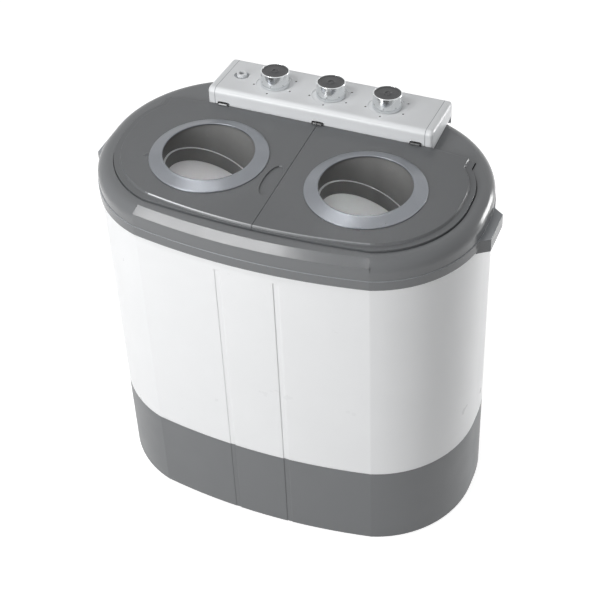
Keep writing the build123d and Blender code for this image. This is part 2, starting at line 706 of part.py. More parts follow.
BOWL_RIM = LID_TOP + RING_H - RING_LIP - FIT
LID_HOLE_R = BOWL_R + BOWL_WALL + LID_GAP
SIDES = {"wash": -1, "spin": 1}
for name, side in SIDES.items():
    knuckles = {
        -1: [(-HINGE_X - KNUCKLE_HALF, 2 * KNUCKLE_HALF), (-KNUCKLE_HALF, KNUCKLE_HALF - SEAM)],
        1: [(HINGE_X - KNUCKLE_HALF, 2 * KNUCKLE_HALF), (SEAM, KNUCKLE_HALF - SEAM)],
    }[side]
    with BuildPart() as lid:
        extrude(lid_plan(LID_Z, side, 0, 0), amount=FLANGE_H)
        panel_end = FLANGE_W + SLOPE_W
        panel_front = FLANGE_FRONT_W + SLOPE_W
        slope_low = lid_plan(LID_Z + FLANGE_H, side, FLANGE_W, FLANGE_FRONT_W)
        loft([slope_low, lid_plan(LID_TOP, side, panel_end, panel_front)], ruled=True)
        # hollow underneath, first within the low rim and then under the raised panel
        back = LID_BACK - LID_T
        low_hollow = lid_plan(LID_Z, side, LID_T, LID_T, SEAM + LID_T, back)
        extrude(low_hollow, amount=FLANGE_H - LID_T, mode=Mode.SUBTRACT)
        high_hollow = lid_plan(
            LID_Z, side, panel_end + LID_T, panel_front + LID_T, SEAM + LID_T, back
        )
        extrude(high_hollow, amount=LID_H - LID_T, mode=Mode.SUBTRACT)
        with BuildSketch(Plane.XY.offset(LID_Z)):
            with Locations((side * WINDOW_X, WINDOW_Y)):
                Circle(LID_HOLE_R)
        extrude(amount=LID_H, mode=Mode.SUBTRACT)
        # knuckles that turn on the hinge pins
        for start, width in knuckles:
            with BuildSketch(Plane.YZ.offset(start)):
                with Locations((HINGE_Y, HINGE_Z)):
                    Circle(KNUCKLE_R)
                with Locations((HINGE_Y, HINGE_Z - KNUCKLE_R)):
                    Rectangle(LID_BACK - HINGE_Y, 2 * KNUCKLE_R)
                with Locations((HINGE_Y, HINGE_Z)):
                    Circle(PIN_R + RUN, mode=Mode.SUBTRACT)
            extrude(amount=width)
        if side < 0:
            with BuildSketch(Plane.XY.offset(LID_TOP)):
                with Locations((-SEAM - FINGER_W / 2, FINGER_Y)):
                    Ellipse(FINGER_W / 2 - SEAM, FINGER_LEN / 2)
            extrude(amount=-FINGER_D, mode=Mode.SUBTRACT)
    finish(lid, f"{name}_lid")

    with BuildPart() as ring:
        with BuildSketch(Plane.XZ.offset(-WINDOW_Y)):
            with BuildLine():
                offset_x = side * WINDOW_X
                inner_wall = BOWL_R + BOWL_WALL + FIT
                Polyline(
                    (offset_x + inner_wall, LID_TOP),
                    (offset_x + RING_R, LID_TOP),
                    (offset_x + RING_R, LID_TOP + RING_EDGE),
                    (offset_x + RING_R - RING_EDGE, LID_TOP + 2 * RING_EDGE),
                    (offset_x + RING_IN_R + RING_LIP, LID_TOP + RING_H),
                    (offset_x + RING_IN_R, LID_TOP + RING_H),
                    (offset_x + RING_IN_R, LID_TOP + RING_H - RING_LIP),
                    (offset_x + inner_wall, LID_TOP + RING_H - RING_LIP),
                    close=True,
                )
            make_face()
        revolve(axis=Axis((side * WINDOW_X, WINDOW_Y, 0), (0, 0, 1)), revolution_arc=360)
    finish(ring, f"{name}_window_ring")

    step = (STEP_SLOPE_X, STEP_SLOPE_Y)
    floor = (BOWL_SLOPE_X, BOWL_SLOPE_Y)
    outer_top = slanted_plug(side, BOWL_R + BOWL_WALL, STEP_DEPTH + BOWL_WALL, *step)
    outer_low = slanted_plug(side, BOWL_R, BOWL_DEPTH + BOWL_WALL, *floor)
    inner_top = slanted_plug(side, BOWL_R, STEP_DEPTH, *step)
    inner_low = slanted_plug(side, BOWL_R - BOWL_STEP, BOWL_DEPTH, *floor)
    with BuildPart() as bowl:
        add(outer_top)
        add(outer_low)
        with BuildSketch(Plane.XY.offset(LID_TOP - LID_T - GAP)):
            with Locations((side * WINDOW_X, WINDOW_Y)):
                Circle(BOWL_R + BOWL_WALL + BOWL_FLANGE)
        extrude(amount=-BOWL_FLANGE_T)
        add(inner_top, mode=Mode.SUBTRACT)
        add(inner_low, mode=Mode.SUBTRACT)
    finish(bowl, f"{name}_window_bowl")

# ================================================================ console
CORE_HALF = CONSOLE_HALF - CAP_W
with BuildPart() as console_fascia:
    extrude(console_outline(-CORE_HALF), amount=2 * CORE_HALF)
    inside = console_core(-CORE_HALF, CONSOLE_T, BACK_FOOT)
    extrude(inside, amount=2 * CORE_HALF, mode=Mode.SUBTRACT)
    # slots behind the lids' knuckles, with an ear for the pin at each end
    with BuildSketch(Plane.XZ.offset(-CONSOLE_FRONT - CONSOLE_T)):
        with Locations(*[(x, HINGE_Z) for x in HINGES]):
            Rectangle(2 * (KNUCKLE_HALF + GAP), 2 * (KNUCKLE_R + GAP))
    extrude(amount=CONSOLE_T, mode=Mode.SUBTRACT)
    for centre in HINGES:
        for start in (centre - KNUCKLE_HALF - GAP - EAR_T, centre + KNUCKLE_HALF + GAP):
            with BuildSketch(Plane.YZ.offset(start)):
                with Locations((HINGE_Y, HINGE_Z)):
                    Circle(KNUCKLE_R)
                with Locations((CONSOLE_FRONT, HINGE_Z)):
                    Rectangle(2 * (CONSOLE_FRONT - HINGE_Y), 2 * KNUCKLE_R)
                with Locations((HINGE_Y, HINGE_Z)):
                    Circle(PIN_R + FIT / 10, mode=Mode.SUBTRACT)
            extrude(amount=EAR_T)
    # dial recesses and shaft holes
    for x in KNOBS.values():
        with BuildSketch(dial_plane(x)):
            Circle(DIAL_R)
        extrude(amount=-DIAL_D, mode=Mode.SUBTRACT)
        with BuildSketch(dial_plane(x)):
            Circle(SHAFT_HOLE_R + 2 * FIT)
        extrude(amount=-2 * CONSOLE_T, mode=Mode.SUBTRACT)
    # dish round the water inlet, with a hole for its nozzle
    inlet_plane = panel_plane(INLET_X, INLET_Y)
    with BuildSketch(inlet_plane.offset(-INLET_DISH_D - CONSOLE_T)):
        Circle(INLET_DISH_R + CONSOLE_T)
    extrude(amount=INLET_DISH_D + CONSOLE_T / 2)
    with BuildSketch(inlet_plane.offset(-INLET_DISH_D)):
        Circle(INLET_DISH_R)
    extrude(amount=2 * INLET_DISH_D, mode=Mode.SUBTRACT)
    with BuildSketch(Plane.XY.offset(RIM_Z)):
        with Locations((INLET_X, INLET_Y)):
            Circle(INLET_R + FIT)
    extrude(amount=2 * CONSOLE_RISE, mode=Mode.SUBTRACT)
finish(console_fascia, "console_fascia")

for name, start in (("console_left_cap", -CONSOLE_HALF), ("console_right_cap", CORE_HALF)):
    with BuildPart() as end_cap:
        extrude(console_outline(start), amount=CAP_W)
        outer = end_cap.faces().group_by(Axis.X)[-1 if start > 0 else 0].edges()
        fillet(outer.filter_by(lambda edge: edge.center().Z > SHELF_Z + CAP_R), CAP_R)
        # collar that plugs into the fascia's open end
        plug_start = CORE_HALF - CAP_LIP if start > 0 else -CORE_HALF
        extrude(console_core(plug_start, CONSOLE_T + FIT, SHELF_Z), amount=CAP_LIP)
        plug_hollow = console_core(plug_start, CONSOLE_T + FIT + LIP_T, SHELF_Z)
        extrude(plug_hollow, amount=CAP_LIP, mode=Mode.SUBTRACT)
    finish(end_cap, name)

for name, x in KNOBS.items():
    seat = KNOB_LIFT - DIAL_D
    with BuildPart() as knob:
        with BuildSketch(dial_section(x)) as profile:
            with BuildLine():
                Polyline(
                    (SHAFT_R, seat + SHAFT_IN_KNOB),
                    (SHAFT_R, seat),
                    (KNOB_R, seat),
                    (KNOB_TOP_R, seat + KNOB_H),
                    (KNOB_CAP_R + FIT, seat + KNOB_H),
                    (KNOB_CAP_R + FIT, seat + KNOB_H - KNOB_CAP_T),
                    (0, seat + KNOB_H - KNOB_CAP_T),
                    (0, seat + SHAFT_IN_KNOB),
                    close=True,
                )
            make_face()
        revolve(axis=Axis(dial_plane(x).origin, dial_plane(x).z_dir), revolution_arc=360)
    finish(knob, f"{name}_knob")

    with BuildPart() as knob_cap:
        with BuildSketch(dial_plane(x).offset(seat + KNOB_H - KNOB_CAP_T)):
            Circle(KNOB_CAP_R)
        extrude(amount=KNOB_CAP_T)
        with BuildSketch(dial_plane(x).offset(seat + KNOB_H)):
            Circle(KNOB_DIMPLE_R)
        extrude(amount=-KNOB_DIMPLE_D, mode=Mode.SUBTRACT)
    finish(knob_cap, f"{name}_knob_cap")

    timer_top = -CONSOLE_T - FIT
    with BuildPart() as shaft:
        with BuildSketch(dial_plane(x).offset(timer_top - SHAFT_IN_TIMER)):
            Circle(SHAFT_R)
        extrude(amount=seat + SHAFT_IN_KNOB - timer_top + SHAFT_IN_TIMER)
        if name == "drain_selector":
            with BuildSketch(dial_plane(x).offset(timer_top - TIMER_H - GAP)):
                Circle(SHAFT_R)
            extrude(amount=TIMER_H - SHAFT_IN_TIMER + GAP)
            with BuildSketch(dial_plane(x).offset(timer_top - TIMER_H - GAP)):
                Circle(CAM_R)
            extrude(amount=-CAM_T)
    finish(shaft, f"{name}_shaft")

    with BuildPart() as timer:
        with BuildSketch(dial_plane(x).offset(timer_top)):
            RectangleRounded(TIMER_W, TIMER_W, LIP_T)
        extrude(amount=-TIMER_H)
        with BuildSketch(dial_plane(x).offset(timer_top)):
            Circle(SHAFT_HOLE_R)
        extrude(amount=CONSOLE_T - DIAL_D)
        bore_depth = TIMER_H if name == "drain_selector" else SHAFT_IN_TIMER + GAP
        with BuildSketch(dial_plane(x).offset(timer_top + CONSOLE_T)):
            Circle(SHAFT_R + RUN)
        extrude(amount=-CONSOLE_T - bore_depth, mode=Mode.SUBTRACT)
    finish(timer, name)

# ================================================================ water inlet
INLET_TOP = panel_z(INLET_Y) + INLET_RISE
INLET_LOW = INLET_TOP - INLET_LEN
with BuildPart() as water_inlet:
    under_dish = panel_z(INLET_Y + INLET_FLANGE_R) - (INLET_DISH_D + CONSOLE_T) / cos(PANEL_TILT)
    with BuildSketch(Plane.XY.offset(under_dish - FIT)):
        with Locations((INLET_X, INLET_Y)):
            Circle(INLET_FLANGE_R)
    extrude(amount=-CONSOLE_T)
    with BuildSketch(Plane.XY.offset(INLET_TOP)):
        with Locations((INLET_X, INLET_Y)):
            Circle(INLET_R)
    extrude(amount=-INLET_LEN)
    with BuildSketch(Plane.XY.offset(INLET_TOP)):
        with Locations((INLET_X, INLET_Y)):
            Circle(INLET_BORE_R)
    extrude(amount=-INLET_LEN, mode=Mode.SUBTRACT)
finish(water_inlet, "water_inlet")


def hose(route, outer, inner, bend):
    """Hollow hose along straight runs joined by tangent arcs."""
    start = Vector(*route[0])
    first = Plane(origin=start, z_dir=Vector(*route[1]) - start)
    with BuildPart() as tube:
        with BuildLine() as path:
            FilletPolyline(*route, radius=bend)
        with BuildSketch(first):
            Circle(outer)
            Circle(inner, mode=Mode.SUBTRACT)
        sweep(path=path.line)
    return tube


INLET_RUN_Z = DECK_Z - INLET_RUN_DROP
INLET_HOSE_R = INLET_R + HOSE_WALL + FIT
inlet_hose = hose(
    [
        (INLET_X, INLET_Y, INLET_LOW + HOSE_LAP),
        (INLET_X, INLET_Y, INLET_RUN_Z),
        (INLET_X, TUB_BACK - TUB_WALL - GAP, INLET_RUN_Z),
    ],
    INLET_HOSE_R,
    INLET_HOSE_R - HOSE_WALL,
    INLET_BEND_R,
)
finish(inlet_hose, "inlet_hose")

# ================================================================ wash tub
with BuildPart() as wash_tub:
    extrude(tub_plan(TUB_FLOOR, 0), amount=DECK_Z - TUB_FLOOR)
    extrude(tub_plan(DECK_Z - TUB_WALL, -TUB_FLANGE), amount=TUB_WALL)
    extrude(tub_plan(TUB_FLOOR + TUB_WALL, TUB_WALL), amount=DECK_Z - TUB_FLOOR, mode=Mode.SUBTRACT)
    with BuildSketch(Plane.XY.offset(TUB_FLOOR)):
        with Locations((WASH_X, WASH_Y)):
            Circle(HOUSING_R + FIT)
        with Locations((TUB_PORT_X, TUB_PORT_Y)):
            Circle(HOSE_R - HOSE_WALL)
    extrude(amount=TUB_WALL, mode=Mode.SUBTRACT)
    with BuildSketch(Plane.XZ.offset(-TUB_BACK)):
        with Locations((INLET_X, INLET_RUN_Z)):
            Circle(INLET_HOSE_R + FIT)
    extrude(amount=TUB_WALL, mode=Mode.SUBTRACT)
finish(wash_tub, "wash_tub")

with BuildPart() as lint_filter:
    filter_back = TUB_BACK - TUB_WALL
    with BuildSketch(Plane.XZ.offset(-filter_back)):
        with Locations((WASH_X, FILTER_Z)):
            RectangleRounded(FILTER_W, FILTER_H, FILTER_T)
    extrude(amount=FILTER_T)
    with BuildSketch(Plane.XZ.offset(-filter_back)):
        with Locations((WASH_X, FILTER_Z)):
            with GridLocations(0, (FILTER_H - 2 * FILTER_T) / FILTER_BARS, 1, FILTER_BARS):
                SlotOverall(FILTER_W - 2 * FILTER_T, FILTER_T)
    extrude(amount=FILTER_T, mode=Mode.SUBTRACT)
finish(lint_filter, "lint_filter")

# ================================================================ pulsator drive
PULSATOR_Z = TUB_FLOOR + TUB_WALL + PULSATOR_LIFT + HOUSING_FLANGE_T
with BuildPart() as pulsator:
    with BuildSketch(Plane.XY.offset(PULSATOR_Z)):
        with Locations((WASH_X, WASH_Y)):
            Circle(PULSATOR_R)
    extrude(amount=PULSATOR_H)
    chamfer(pulsator.edges().group_by(Axis.Z)[-1], PULSATOR_H / 2)
    with BuildSketch(Plane.XY.offset(PULSATOR_Z + PULSATOR_H / 2)):
        with Locations((WASH_X, WASH_Y)):
            with PolarLocations((PULSATOR_R - VANE_IN) / 2 + VANE_IN / 2, VANES):
                SlotOverall(PULSATOR_R - VANE_IN, VANE_T)
            Circle(VANE_IN)
    extrude(amount=VANE_H)
    with BuildSketch(Plane.XY.offset(PULSATOR_Z)):
        with Locations((WASH_X, WASH_Y)):
            Circle(DRIVE_R)
    extrude(amount=PULSATOR_H, mode=Mode.SUBTRACT)
finish(pulsator, "pulsator")

with BuildPart() as pulsator_shaft:
    with BuildSketch(Plane.XY.offset(DRIVE_BOTTOM)):
        with Locations((WASH_X, WASH_Y)):
            Circle(DRIVE_R)
    extrude(amount=PULSATOR_Z + PULSATOR_H - DRIVE_BOTTOM)
finish(pulsator_shaft, "pulsator_shaft")

HOUSING_TOP = TUB_FLOOR + TUB_WALL + HOUSING_FLANGE_T
with BuildPart() as bearing_housing:
    with BuildSketch(Plane.XY.offset(TUB_FLOOR + TUB_WALL)):
        with Locations((WASH_X, WASH_Y)):
            Circle(HOUSING_FLANGE_R)
    extrude(amount=HOUSING_FLANGE_T)
    with BuildSketch(Plane.XY.offset(HOUSING_TOP - HOUSING_H)):
        with Locations((WASH_X, WASH_Y)):
            Circle(HOUSING_R)
    extrude(amount=HOUSING_H)
    with BuildSketch(Plane.XY.offset(HOUSING_TOP - HOUSING_H)):
        with Locations((WASH_X, WASH_Y)):
            Circle(DRIVE_R + RUN)
    extrude(amount=HOUSING_H, mode=Mode.SUBTRACT)
    with BuildSketch(Plane.XY.offset(HOUSING_TOP)):
        with Locations((WASH_X, WASH_Y)):
            Circle(SEAL_R)
    extrude(amount=-SEAL_H, mode=Mode.SUBTRACT)
finish(bearing_housing, "bearing_housing")

with BuildPart() as shaft_seal:
    with BuildSketch(Plane.XY.offset(HOUSING_TOP - SEAL_H)):
        with Locations((WASH_X, WASH_Y)):
            Circle(SEAL_R)
            Circle(DRIVE_R + RUN, mode=Mode.SUBTRACT)
    extrude(amount=SEAL_H)
finish(shaft_seal, "shaft_seal")


def pulley_section(x, y, radius, hub_r, web):
    """Half section of a grooved pulley, on a plane through its axis."""
    top = PULLEY_Z + PULLEY_T
    middle = PULLEY_Z + PULLEY_T / 2
    with BuildSketch(Plane.XZ.offset(-y)) as sketch:
        with BuildLine():
            Polyline(
                (x + hub_r, PULLEY_Z),
                (x + radius, PULLEY_Z),
                (x + radius, PULLEY_Z + web / 2),
                (x + radius - GROOVE_DEPTH, middle - BELT_H / 4),
                (x + radius - GROOVE_DEPTH, middle + BELT_H / 4),
                (x + radius, top - web / 2),
                (x + radius, top),
                (x + hub_r, top),
                close=True,
            )
        make_face()
    return sketch.sketch


for name, y, radius, hub_r, web in (
    ("driven_pulley", WASH_Y, PULLEY_R, DRIVE_R, PULLEY_WEB / 2),
    ("motor_pulley", MOTOR_Y, MOTOR_PULLEY_R, MOTOR_SHAFT_R, PULLEY_WEB / 2),
):
    with BuildPart() as pulley:
        revolve(pulley_section(WASH_X, y, radius, hub_r, web), axis=Axis((WASH_X, y, 0), (0, 0, 1)))
    finish(pulley, name)

# V belt that runs in both grooves, its sides clear of them
BELT_MID = PULLEY_Z + PULLEY_T / 2


def belt_loop(height, depth):
    """Outline of the belt at a height, its reach given from the pulleys' rims."""
    with BuildSketch(Plane.XY.offset(height)) as sketch:
        with BuildLine():
            big = PULLEY_R - depth
            small = MOTOR_PULLEY_R - depth
            lean = (big - small) / (MOTOR_Y - WASH_Y)
            rise = sqrt(1 - lean**2)
            a = (WASH_X - big * rise, WASH_Y + big * lean)
            b = (WASH_X + big * rise, WASH_Y + big * lean)
            c = (WASH_X + small * rise, MOTOR_Y + small * lean)
            d = (WASH_X - small * rise, MOTOR_Y + small * lean)
            ThreePointArc(a, (WASH_X, WASH_Y - big), b)
            Line(b, c)
            ThreePointArc(c, (WASH_X, MOTOR_Y + small), d)
            Line(d, a)
        make_face()
    return sketch.sketch


with BuildPart() as drive_belt:
    extrude(belt_loop(BELT_MID - BELT_H / 4, 0), amount=BELT_H / 2)
    extrude(
        belt_loop(BELT_MID - BELT_H / 4, GROOVE_DEPTH - GAP), amount=BELT_H / 2, mode=Mode.SUBTRACT
    )
finish(drive_belt, "drive_belt")

MOTOR_TOP = FLOOR_TOP + MOTOR_FOOT_T + MOTOR_H
FOOT_BOLTS = [
    (WASH_X + sx * (MOTOR_FOOT / 2 - 2 * BOLT_R), MOTOR_Y + sy * (MOTOR_FOOT / 2 - 2 * BOLT_R))
    for sx in (-1, 1)
    for sy in (-1, 1)
]
with BuildPart() as wash_motor:
    with BuildSketch(Plane.XY.offset(FLOOR_TOP)):
        with Locations((WASH_X, MOTOR_Y)):
            RectangleRounded(MOTOR_FOOT, MOTOR_FOOT, 2 * BOLT_R)
        with Locations(*FOOT_BOLTS):
            Circle(BOLT_R + FIT, mode=Mode.SUBTRACT)
    extrude(amount=MOTOR_FOOT_T)
    with BuildSketch(Plane.XY.offset(FLOOR_TOP + MOTOR_FOOT_T)):
        with Locations((WASH_X, MOTOR_Y)):
            Circle(MOTOR_R)
    extrude(amount=MOTOR_H)
    fillet(wash_motor.edges().group_by(Axis.Z)[-1], 2 * BOLT_R)
    with BuildSketch(Plane.XY.offset(MOTOR_TOP)):
        with Locations((WASH_X, MOTOR_Y)):
            Circle(MOTOR_SHAFT_R + RUN)
    extrude(amount=-MOTOR_H / 2 - GAP, mode=Mode.SUBTRACT)
finish(wash_motor, "wash_motor")

with BuildPart() as wash_motor_shaft:
    with BuildSketch(Plane.XY.offset(MOTOR_TOP - MOTOR_H / 2)):
        with Locations((WASH_X, MOTOR_Y)):
            Circle(MOTOR_SHAFT_R)
    extrude(amount=PULLEY_Z + PULLEY_T - MOTOR_TOP + MOTOR_H / 2)
finish(wash_motor_shaft, "wash_motor_shaft")

with BuildPart() as motor_bolts:
    with BuildSketch(Plane.XY.offset(FLOOR_TOP)):
        with Locations(*FOOT_BOLTS):
            Circle(BOLT_R)
    extrude(amount=MOTOR_FOOT_T)
    with BuildSketch(Plane.XY.offset(FLOOR_TOP + MOTOR_FOOT_T)):
        with Locations(*FOOT_BOLTS):
            RegularPolygon(BOLT_HEAD_R, 6)
    extrude(amount=BOLT_HEAD_H)
finish(motor_bolts, "motor_bolts")

# ================================================================ spin tub and basket
BRAKE_X = SPIN_X + DRUM_R + BRAKE_GAP + BRAKE_W / 2
BRAKE_Y = SPIN_Y + BRAKE_REACH
with BuildPart() as spin_tub:
    with BuildSketch(Plane.XY.offset(SPIN_FLOOR)):
        with Locations((SPIN_X, SPIN_Y)):
            Circle(SPIN_TUB_R + TUB_WALL)
    extrude(amount=DECK_Z - SPIN_FLOOR)
    with BuildSketch(Plane.XY.offset(SPIN_FLOOR + TUB_WALL)):
        with Locations((SPIN_X, SPIN_Y)):
            Circle(SPIN_TUB_R)
    extrude(amount=DECK_Z - SPIN_FLOOR, mode=Mode.SUBTRACT)
    with BuildSketch(Plane.XY.offset(SPIN_FLOOR)):
        with Locations((SPIN_X, SPIN_Y)):
            Circle(SPIN_PORT_R)
        with Locations((SPIN_X, SPIN_PORT_Y)):
            Circle(HOSE_R - HOSE_WALL)
    extrude(amount=TUB_WALL, mode=Mode.SUBTRACT)
    # post that the brake arm turns on
    with BuildSketch(Plane.XY.offset(DRUM_Z - GAP)):
        with Locations((BRAKE_X, BRAKE_Y)):
            Circle(BRAKE_POST_R)
    extrude(amount=SPIN_FLOOR - DRUM_Z + GAP)
finish(spin_tub, "spin_tub")

with BuildPart() as spin_basket:
    with BuildSketch(Plane.XY.offset(BASKET_Z)):
        with Locations((SPIN_X, SPIN_Y)):
            Circle(BASKET_R)
    extrude(amount=BASKET_H)
    with BuildSketch(Plane.XY.offset(BASKET_Z + BASKET_H)):
        with Locations((SPIN_X, SPIN_Y)):
            Circle(BASKET_R + BASKET_LIP)
    extrude(amount=-BASKET_LIP)
    with BuildSketch(Plane.XY.offset(BASKET_Z + BASKET_T)):
        with Locations((SPIN_X, SPIN_Y)):
            Circle(BASKET_R - BASKET_T)
    extrude(amount=BASKET_H, mode=Mode.SUBTRACT)
    row_step = (BASKET_H - 4 * BASKET_LIP) / HOLE_ROWS
    with Locations(*[(SPIN_X, SPIN_Y, BASKET_Z + row_step * (row + 1)) for row in range(HOLE_ROWS)]):
        with PolarLocations(0, HOLE_COUNT):
            Cylinder(
                HOLE_R,
                BASKET_R + BASKET_LIP,
                rotation=(0, 90, 0),
                align=(Align.CENTER, Align.CENTER, Align.MIN),
                mode=Mode.SUBTRACT,
            )
    with BuildSketch(Plane.XY.offset(BASKET_Z)):
        with Locations((SPIN_X, SPIN_Y)):
            Circle(HUB_R)
    extrude(amount=HUB_H)
    with BuildSketch(Plane.XY.offset(BASKET_Z)):
        with Locations((SPIN_X, SPIN_Y)):
            Circle(SPIN_SHAFT_R)
    extrude(amount=HUB_H, mode=Mode.SUBTRACT)
finish(spin_basket, "spin_basket")

SPIN_MOTOR_Z = PLATE_Z + PLATE_T
SPIN_MOTOR_TOP = SPIN_MOTOR_Z + SPIN_MOTOR_H
with BuildPart() as spin_shaft:
    with BuildSketch(Plane.XY.offset(SPIN_MOTOR_TOP - SPIN_MOTOR_H / 2)):
        with Locations((SPIN_X, SPIN_Y)):
            Circle(SPIN_SHAFT_R)
    extrude(amount=BASKET_Z + HUB_H - SPIN_MOTOR_TOP + SPIN_MOTOR_H / 2)
finish(spin_shaft, "spin_shaft")

with BuildPart() as bellows_seal:
    with BuildSketch(Plane.XZ.offset(-SPIN_Y)):
        with BuildLine():
            hub = SPIN_X + SPIN_SHAFT_R + RUN
            top = SPIN_FLOOR + TUB_WALL + BELLOWS_T
            Polyline(
                (hub, top + 2 * BELLOWS_T),
                (hub, top - BELLOWS_T),
                (SPIN_X + SPIN_PORT_R / 2, top - BELLOWS_T),
                (SPIN_X + SPIN_PORT_R - BELLOWS_T, SPIN_FLOOR + TUB_WALL),
                (SPIN_X + BELLOWS_RIM, SPIN_FLOOR + TUB_WALL),
                (SPIN_X + BELLOWS_RIM, top),
                (SPIN_X + SPIN_PORT_R, top),
                (SPIN_X + SPIN_PORT_R / 2, top + BELLOWS_T),
                (SPIN_X + SPIN_SHAFT_R + BELLOWS_T, top + 2 * BELLOWS_T),
                close=True,
            )
        make_face()
    revolve(axis=Axis((SPIN_X, SPIN_Y, 0), (0, 0, 1)), revolution_arc=360)
finish(bellows_seal, "bellows_seal")

with BuildPart() as brake_drum:
    with BuildSketch(Plane.XY.offset(DRUM_Z)):
        with Locations((SPIN_X, SPIN_Y)):
            Circle(DRUM_R)
            Circle(SPIN_SHAFT_R, mode=Mode.SUBTRACT)
    extrude(amount=DRUM_H)
finish(brake_drum, "brake_drum")

with BuildPart() as brake_arm:
    with BuildSketch(Plane.XY.offset(DRUM_Z + DRUM_H / 2 - BRAKE_T / 2)):
        with Locations((BRAKE_X, (BRAKE_Y + SPIN_Y) / 2)):
            Rectangle(BRAKE_W, BRAKE_REACH + BRAKE_W)
        with Locations((BRAKE_X, BRAKE_Y)):
            Circle(BRAKE_W)
            Circle(BRAKE_POST_R + RUN, mode=Mode.SUBTRACT)
        with Locations((SPIN_X, SPIN_Y)):
            Circle(DRUM_R + BRAKE_GAP, mode=Mode.SUBTRACT)
    extrude(amount=BRAKE_T)
finish(brake_arm, "brake_arm")

# cable from under the spin lid's hinge to the brake arm
brake_cable = hose(
    [
        (CABLE_X, CABLE_Y, DECK_Z),
        (CABLE_X, CABLE_Y, DRUM_Z + DRUM_H / 2),
        (CABLE_X, SPIN_Y, DRUM_Z + DRUM_H / 2),
        (BRAKE_X + BRAKE_W / 2 + GAP, SPIN_Y, DRUM_Z + DRUM_H / 2),
    ],
    CABLE_R,
    CABLE_R / 2,
    CABLE_BEND,
)
finish(brake_cable, "brake_cable")

SPRING_SPOTS = [
    (
        SPIN_X + SPRING_AT * cos(radians(90 + turn * 360 / MOUNTS)),
        SPIN_Y + SPRING_AT * sin(radians(90 + turn * 360 / MOUNTS)),
    )
    for turn in range(MOUNTS)
]
with BuildPart() as motor_plate:
    with BuildSketch(Plane.XY.offset(PLATE_Z)):
        with Locations((SPIN_X, SPIN_Y)):
            Circle(PLATE_R)
    extrude(amount=PLATE_T)
finish(motor_plate, "motor_plate")

with BuildPart() as spin_motor:
    with BuildSketch(Plane.XY.offset(SPIN_MOTOR_Z)):
        with Locations((SPIN_X, SPIN_Y)):
            Circle(SPIN_MOTOR_R)
    extrude(amount=SPIN_MOTOR_H)
    fillet(spin_motor.edges().group_by(Axis.Z)[-1], 2 * BOLT_R)
    with BuildSketch(Plane.XY.offset(SPIN_MOTOR_TOP)):
        with Locations((SPIN_X, SPIN_Y)):
            Circle(SPIN_SHAFT_R + RUN)
    extrude(amount=-SPIN_MOTOR_H / 2 - GAP, mode=Mode.SUBTRACT)
finish(spin_motor, "spin_motor")

spring_low = FLOOR_TOP + SPRING_WIRE + FIT
spring_pitch = (PLATE_Z - FLOOR_TOP - 2 * SPRING_WIRE - 2 * FIT) / SPRING_TURNS
springs = []
for x, y in SPRING_SPOTS:
    with BuildPart() as coil:
        with BuildLine() as wire:
            Helix(spring_pitch, spring_pitch * SPRING_TURNS, SPRING_R, center=(x, y, spring_low))
        with BuildSketch(Plane(wire.line @ 0, z_dir=wire.line % 0)):
            Circle(SPRING_WIRE)
        sweep(path=wire.line, is_frenet=True)
    springs.append(coil.part)
with BuildPart() as mount_springs:
    for coil in springs:
        add(coil)
finish(mount_springs, "mount_springs")

# ================================================================ drain
with BuildPart() as drain_valve:
    with BuildSketch(Plane.XY.offset(VALVE_Z)):
        with Locations((VALVE_X, VALVE_Y)):
            Circle(VALVE_R)
    extrude(amount=VALVE_H)
    with BuildSketch(Plane.XZ.offset(-VALVE_Y)):
        with Locations((VALVE_X, OUTLET_Z)):
            Circle(HOSE_R)
    extrude(amount=-(POCKET_Y - WALL - VALVE_Y - LIP_T))
    with BuildSketch(Plane.XY.offset(VALVE_Z + VALVE_WALL)):
        with Locations((VALVE_X, VALVE_Y)):
            Circle(VALVE_R - VALVE_WALL)
    extrude(amount=SEAT_Z - VALVE_Z - 2 * VALVE_WALL, mode=Mode.SUBTRACT)
    with BuildSketch(Plane.XY.offset(SEAT_Z)):
        with Locations((VALVE_X, VALVE_Y)):
            Circle(VALVE_R - VALVE_WALL)
    extrude(amount=VALVE_Z + VALVE_H - VALVE_WALL - SEAT_Z, mode=Mode.SUBTRACT)
    with BuildSketch(Plane.XY.offset(SEAT_Z - VALVE_WALL)):
        with Locations((VALVE_X, VALVE_Y)):
            Circle(SEAT_R)
    extrude(amount=VALVE_WALL, mode=Mode.SUBTRACT)
    with BuildSketch(Plane.XY.offset(VALVE_Z + VALVE_H)):
        with Locations((VALVE_X, VALVE_Y)):
            Circle(ROD_R + RUN)
    extrude(amount=-VALVE_WALL, mode=Mode.SUBTRACT)
    with BuildSketch(Plane.XZ.offset(-VALVE_Y)):
        with Locations((VALVE_X, OUTLET_Z)):
            Circle(HOSE_R - HOSE_WALL)
    extrude(amount=-(POCKET_Y - WALL - VALVE_Y - LIP_T), mode=Mode.SUBTRACT)
    with BuildSketch(Plane.YZ.offset(VALVE_X - VALVE_R)):
        with Locations((VALVE_Y, PORT_Z)):
            Circle(HOSE_R - HOSE_WALL)
    extrude(amount=2 * VALVE_R, mode=Mode.SUBTRACT)
finish(drain_valve, "drain_valve")

with BuildPart() as drain_plug:
    with BuildSketch(Plane.XY.offset(SEAT_Z + GAP)):
        with Locations((VALVE_X, VALVE_Y)):
            Circle(PLUG_R)
    extrude(amount=PLUG_H)
    with BuildSketch(Plane.XY.offset(SEAT_Z + GAP)):
        with Locations((VALVE_X, VALVE_Y)):
            Circle(ROD_R)
    extrude(amount=RIM_Z - ROD_DROP - SEAT_Z - GAP)
finish(drain_plug, "drain_plug")

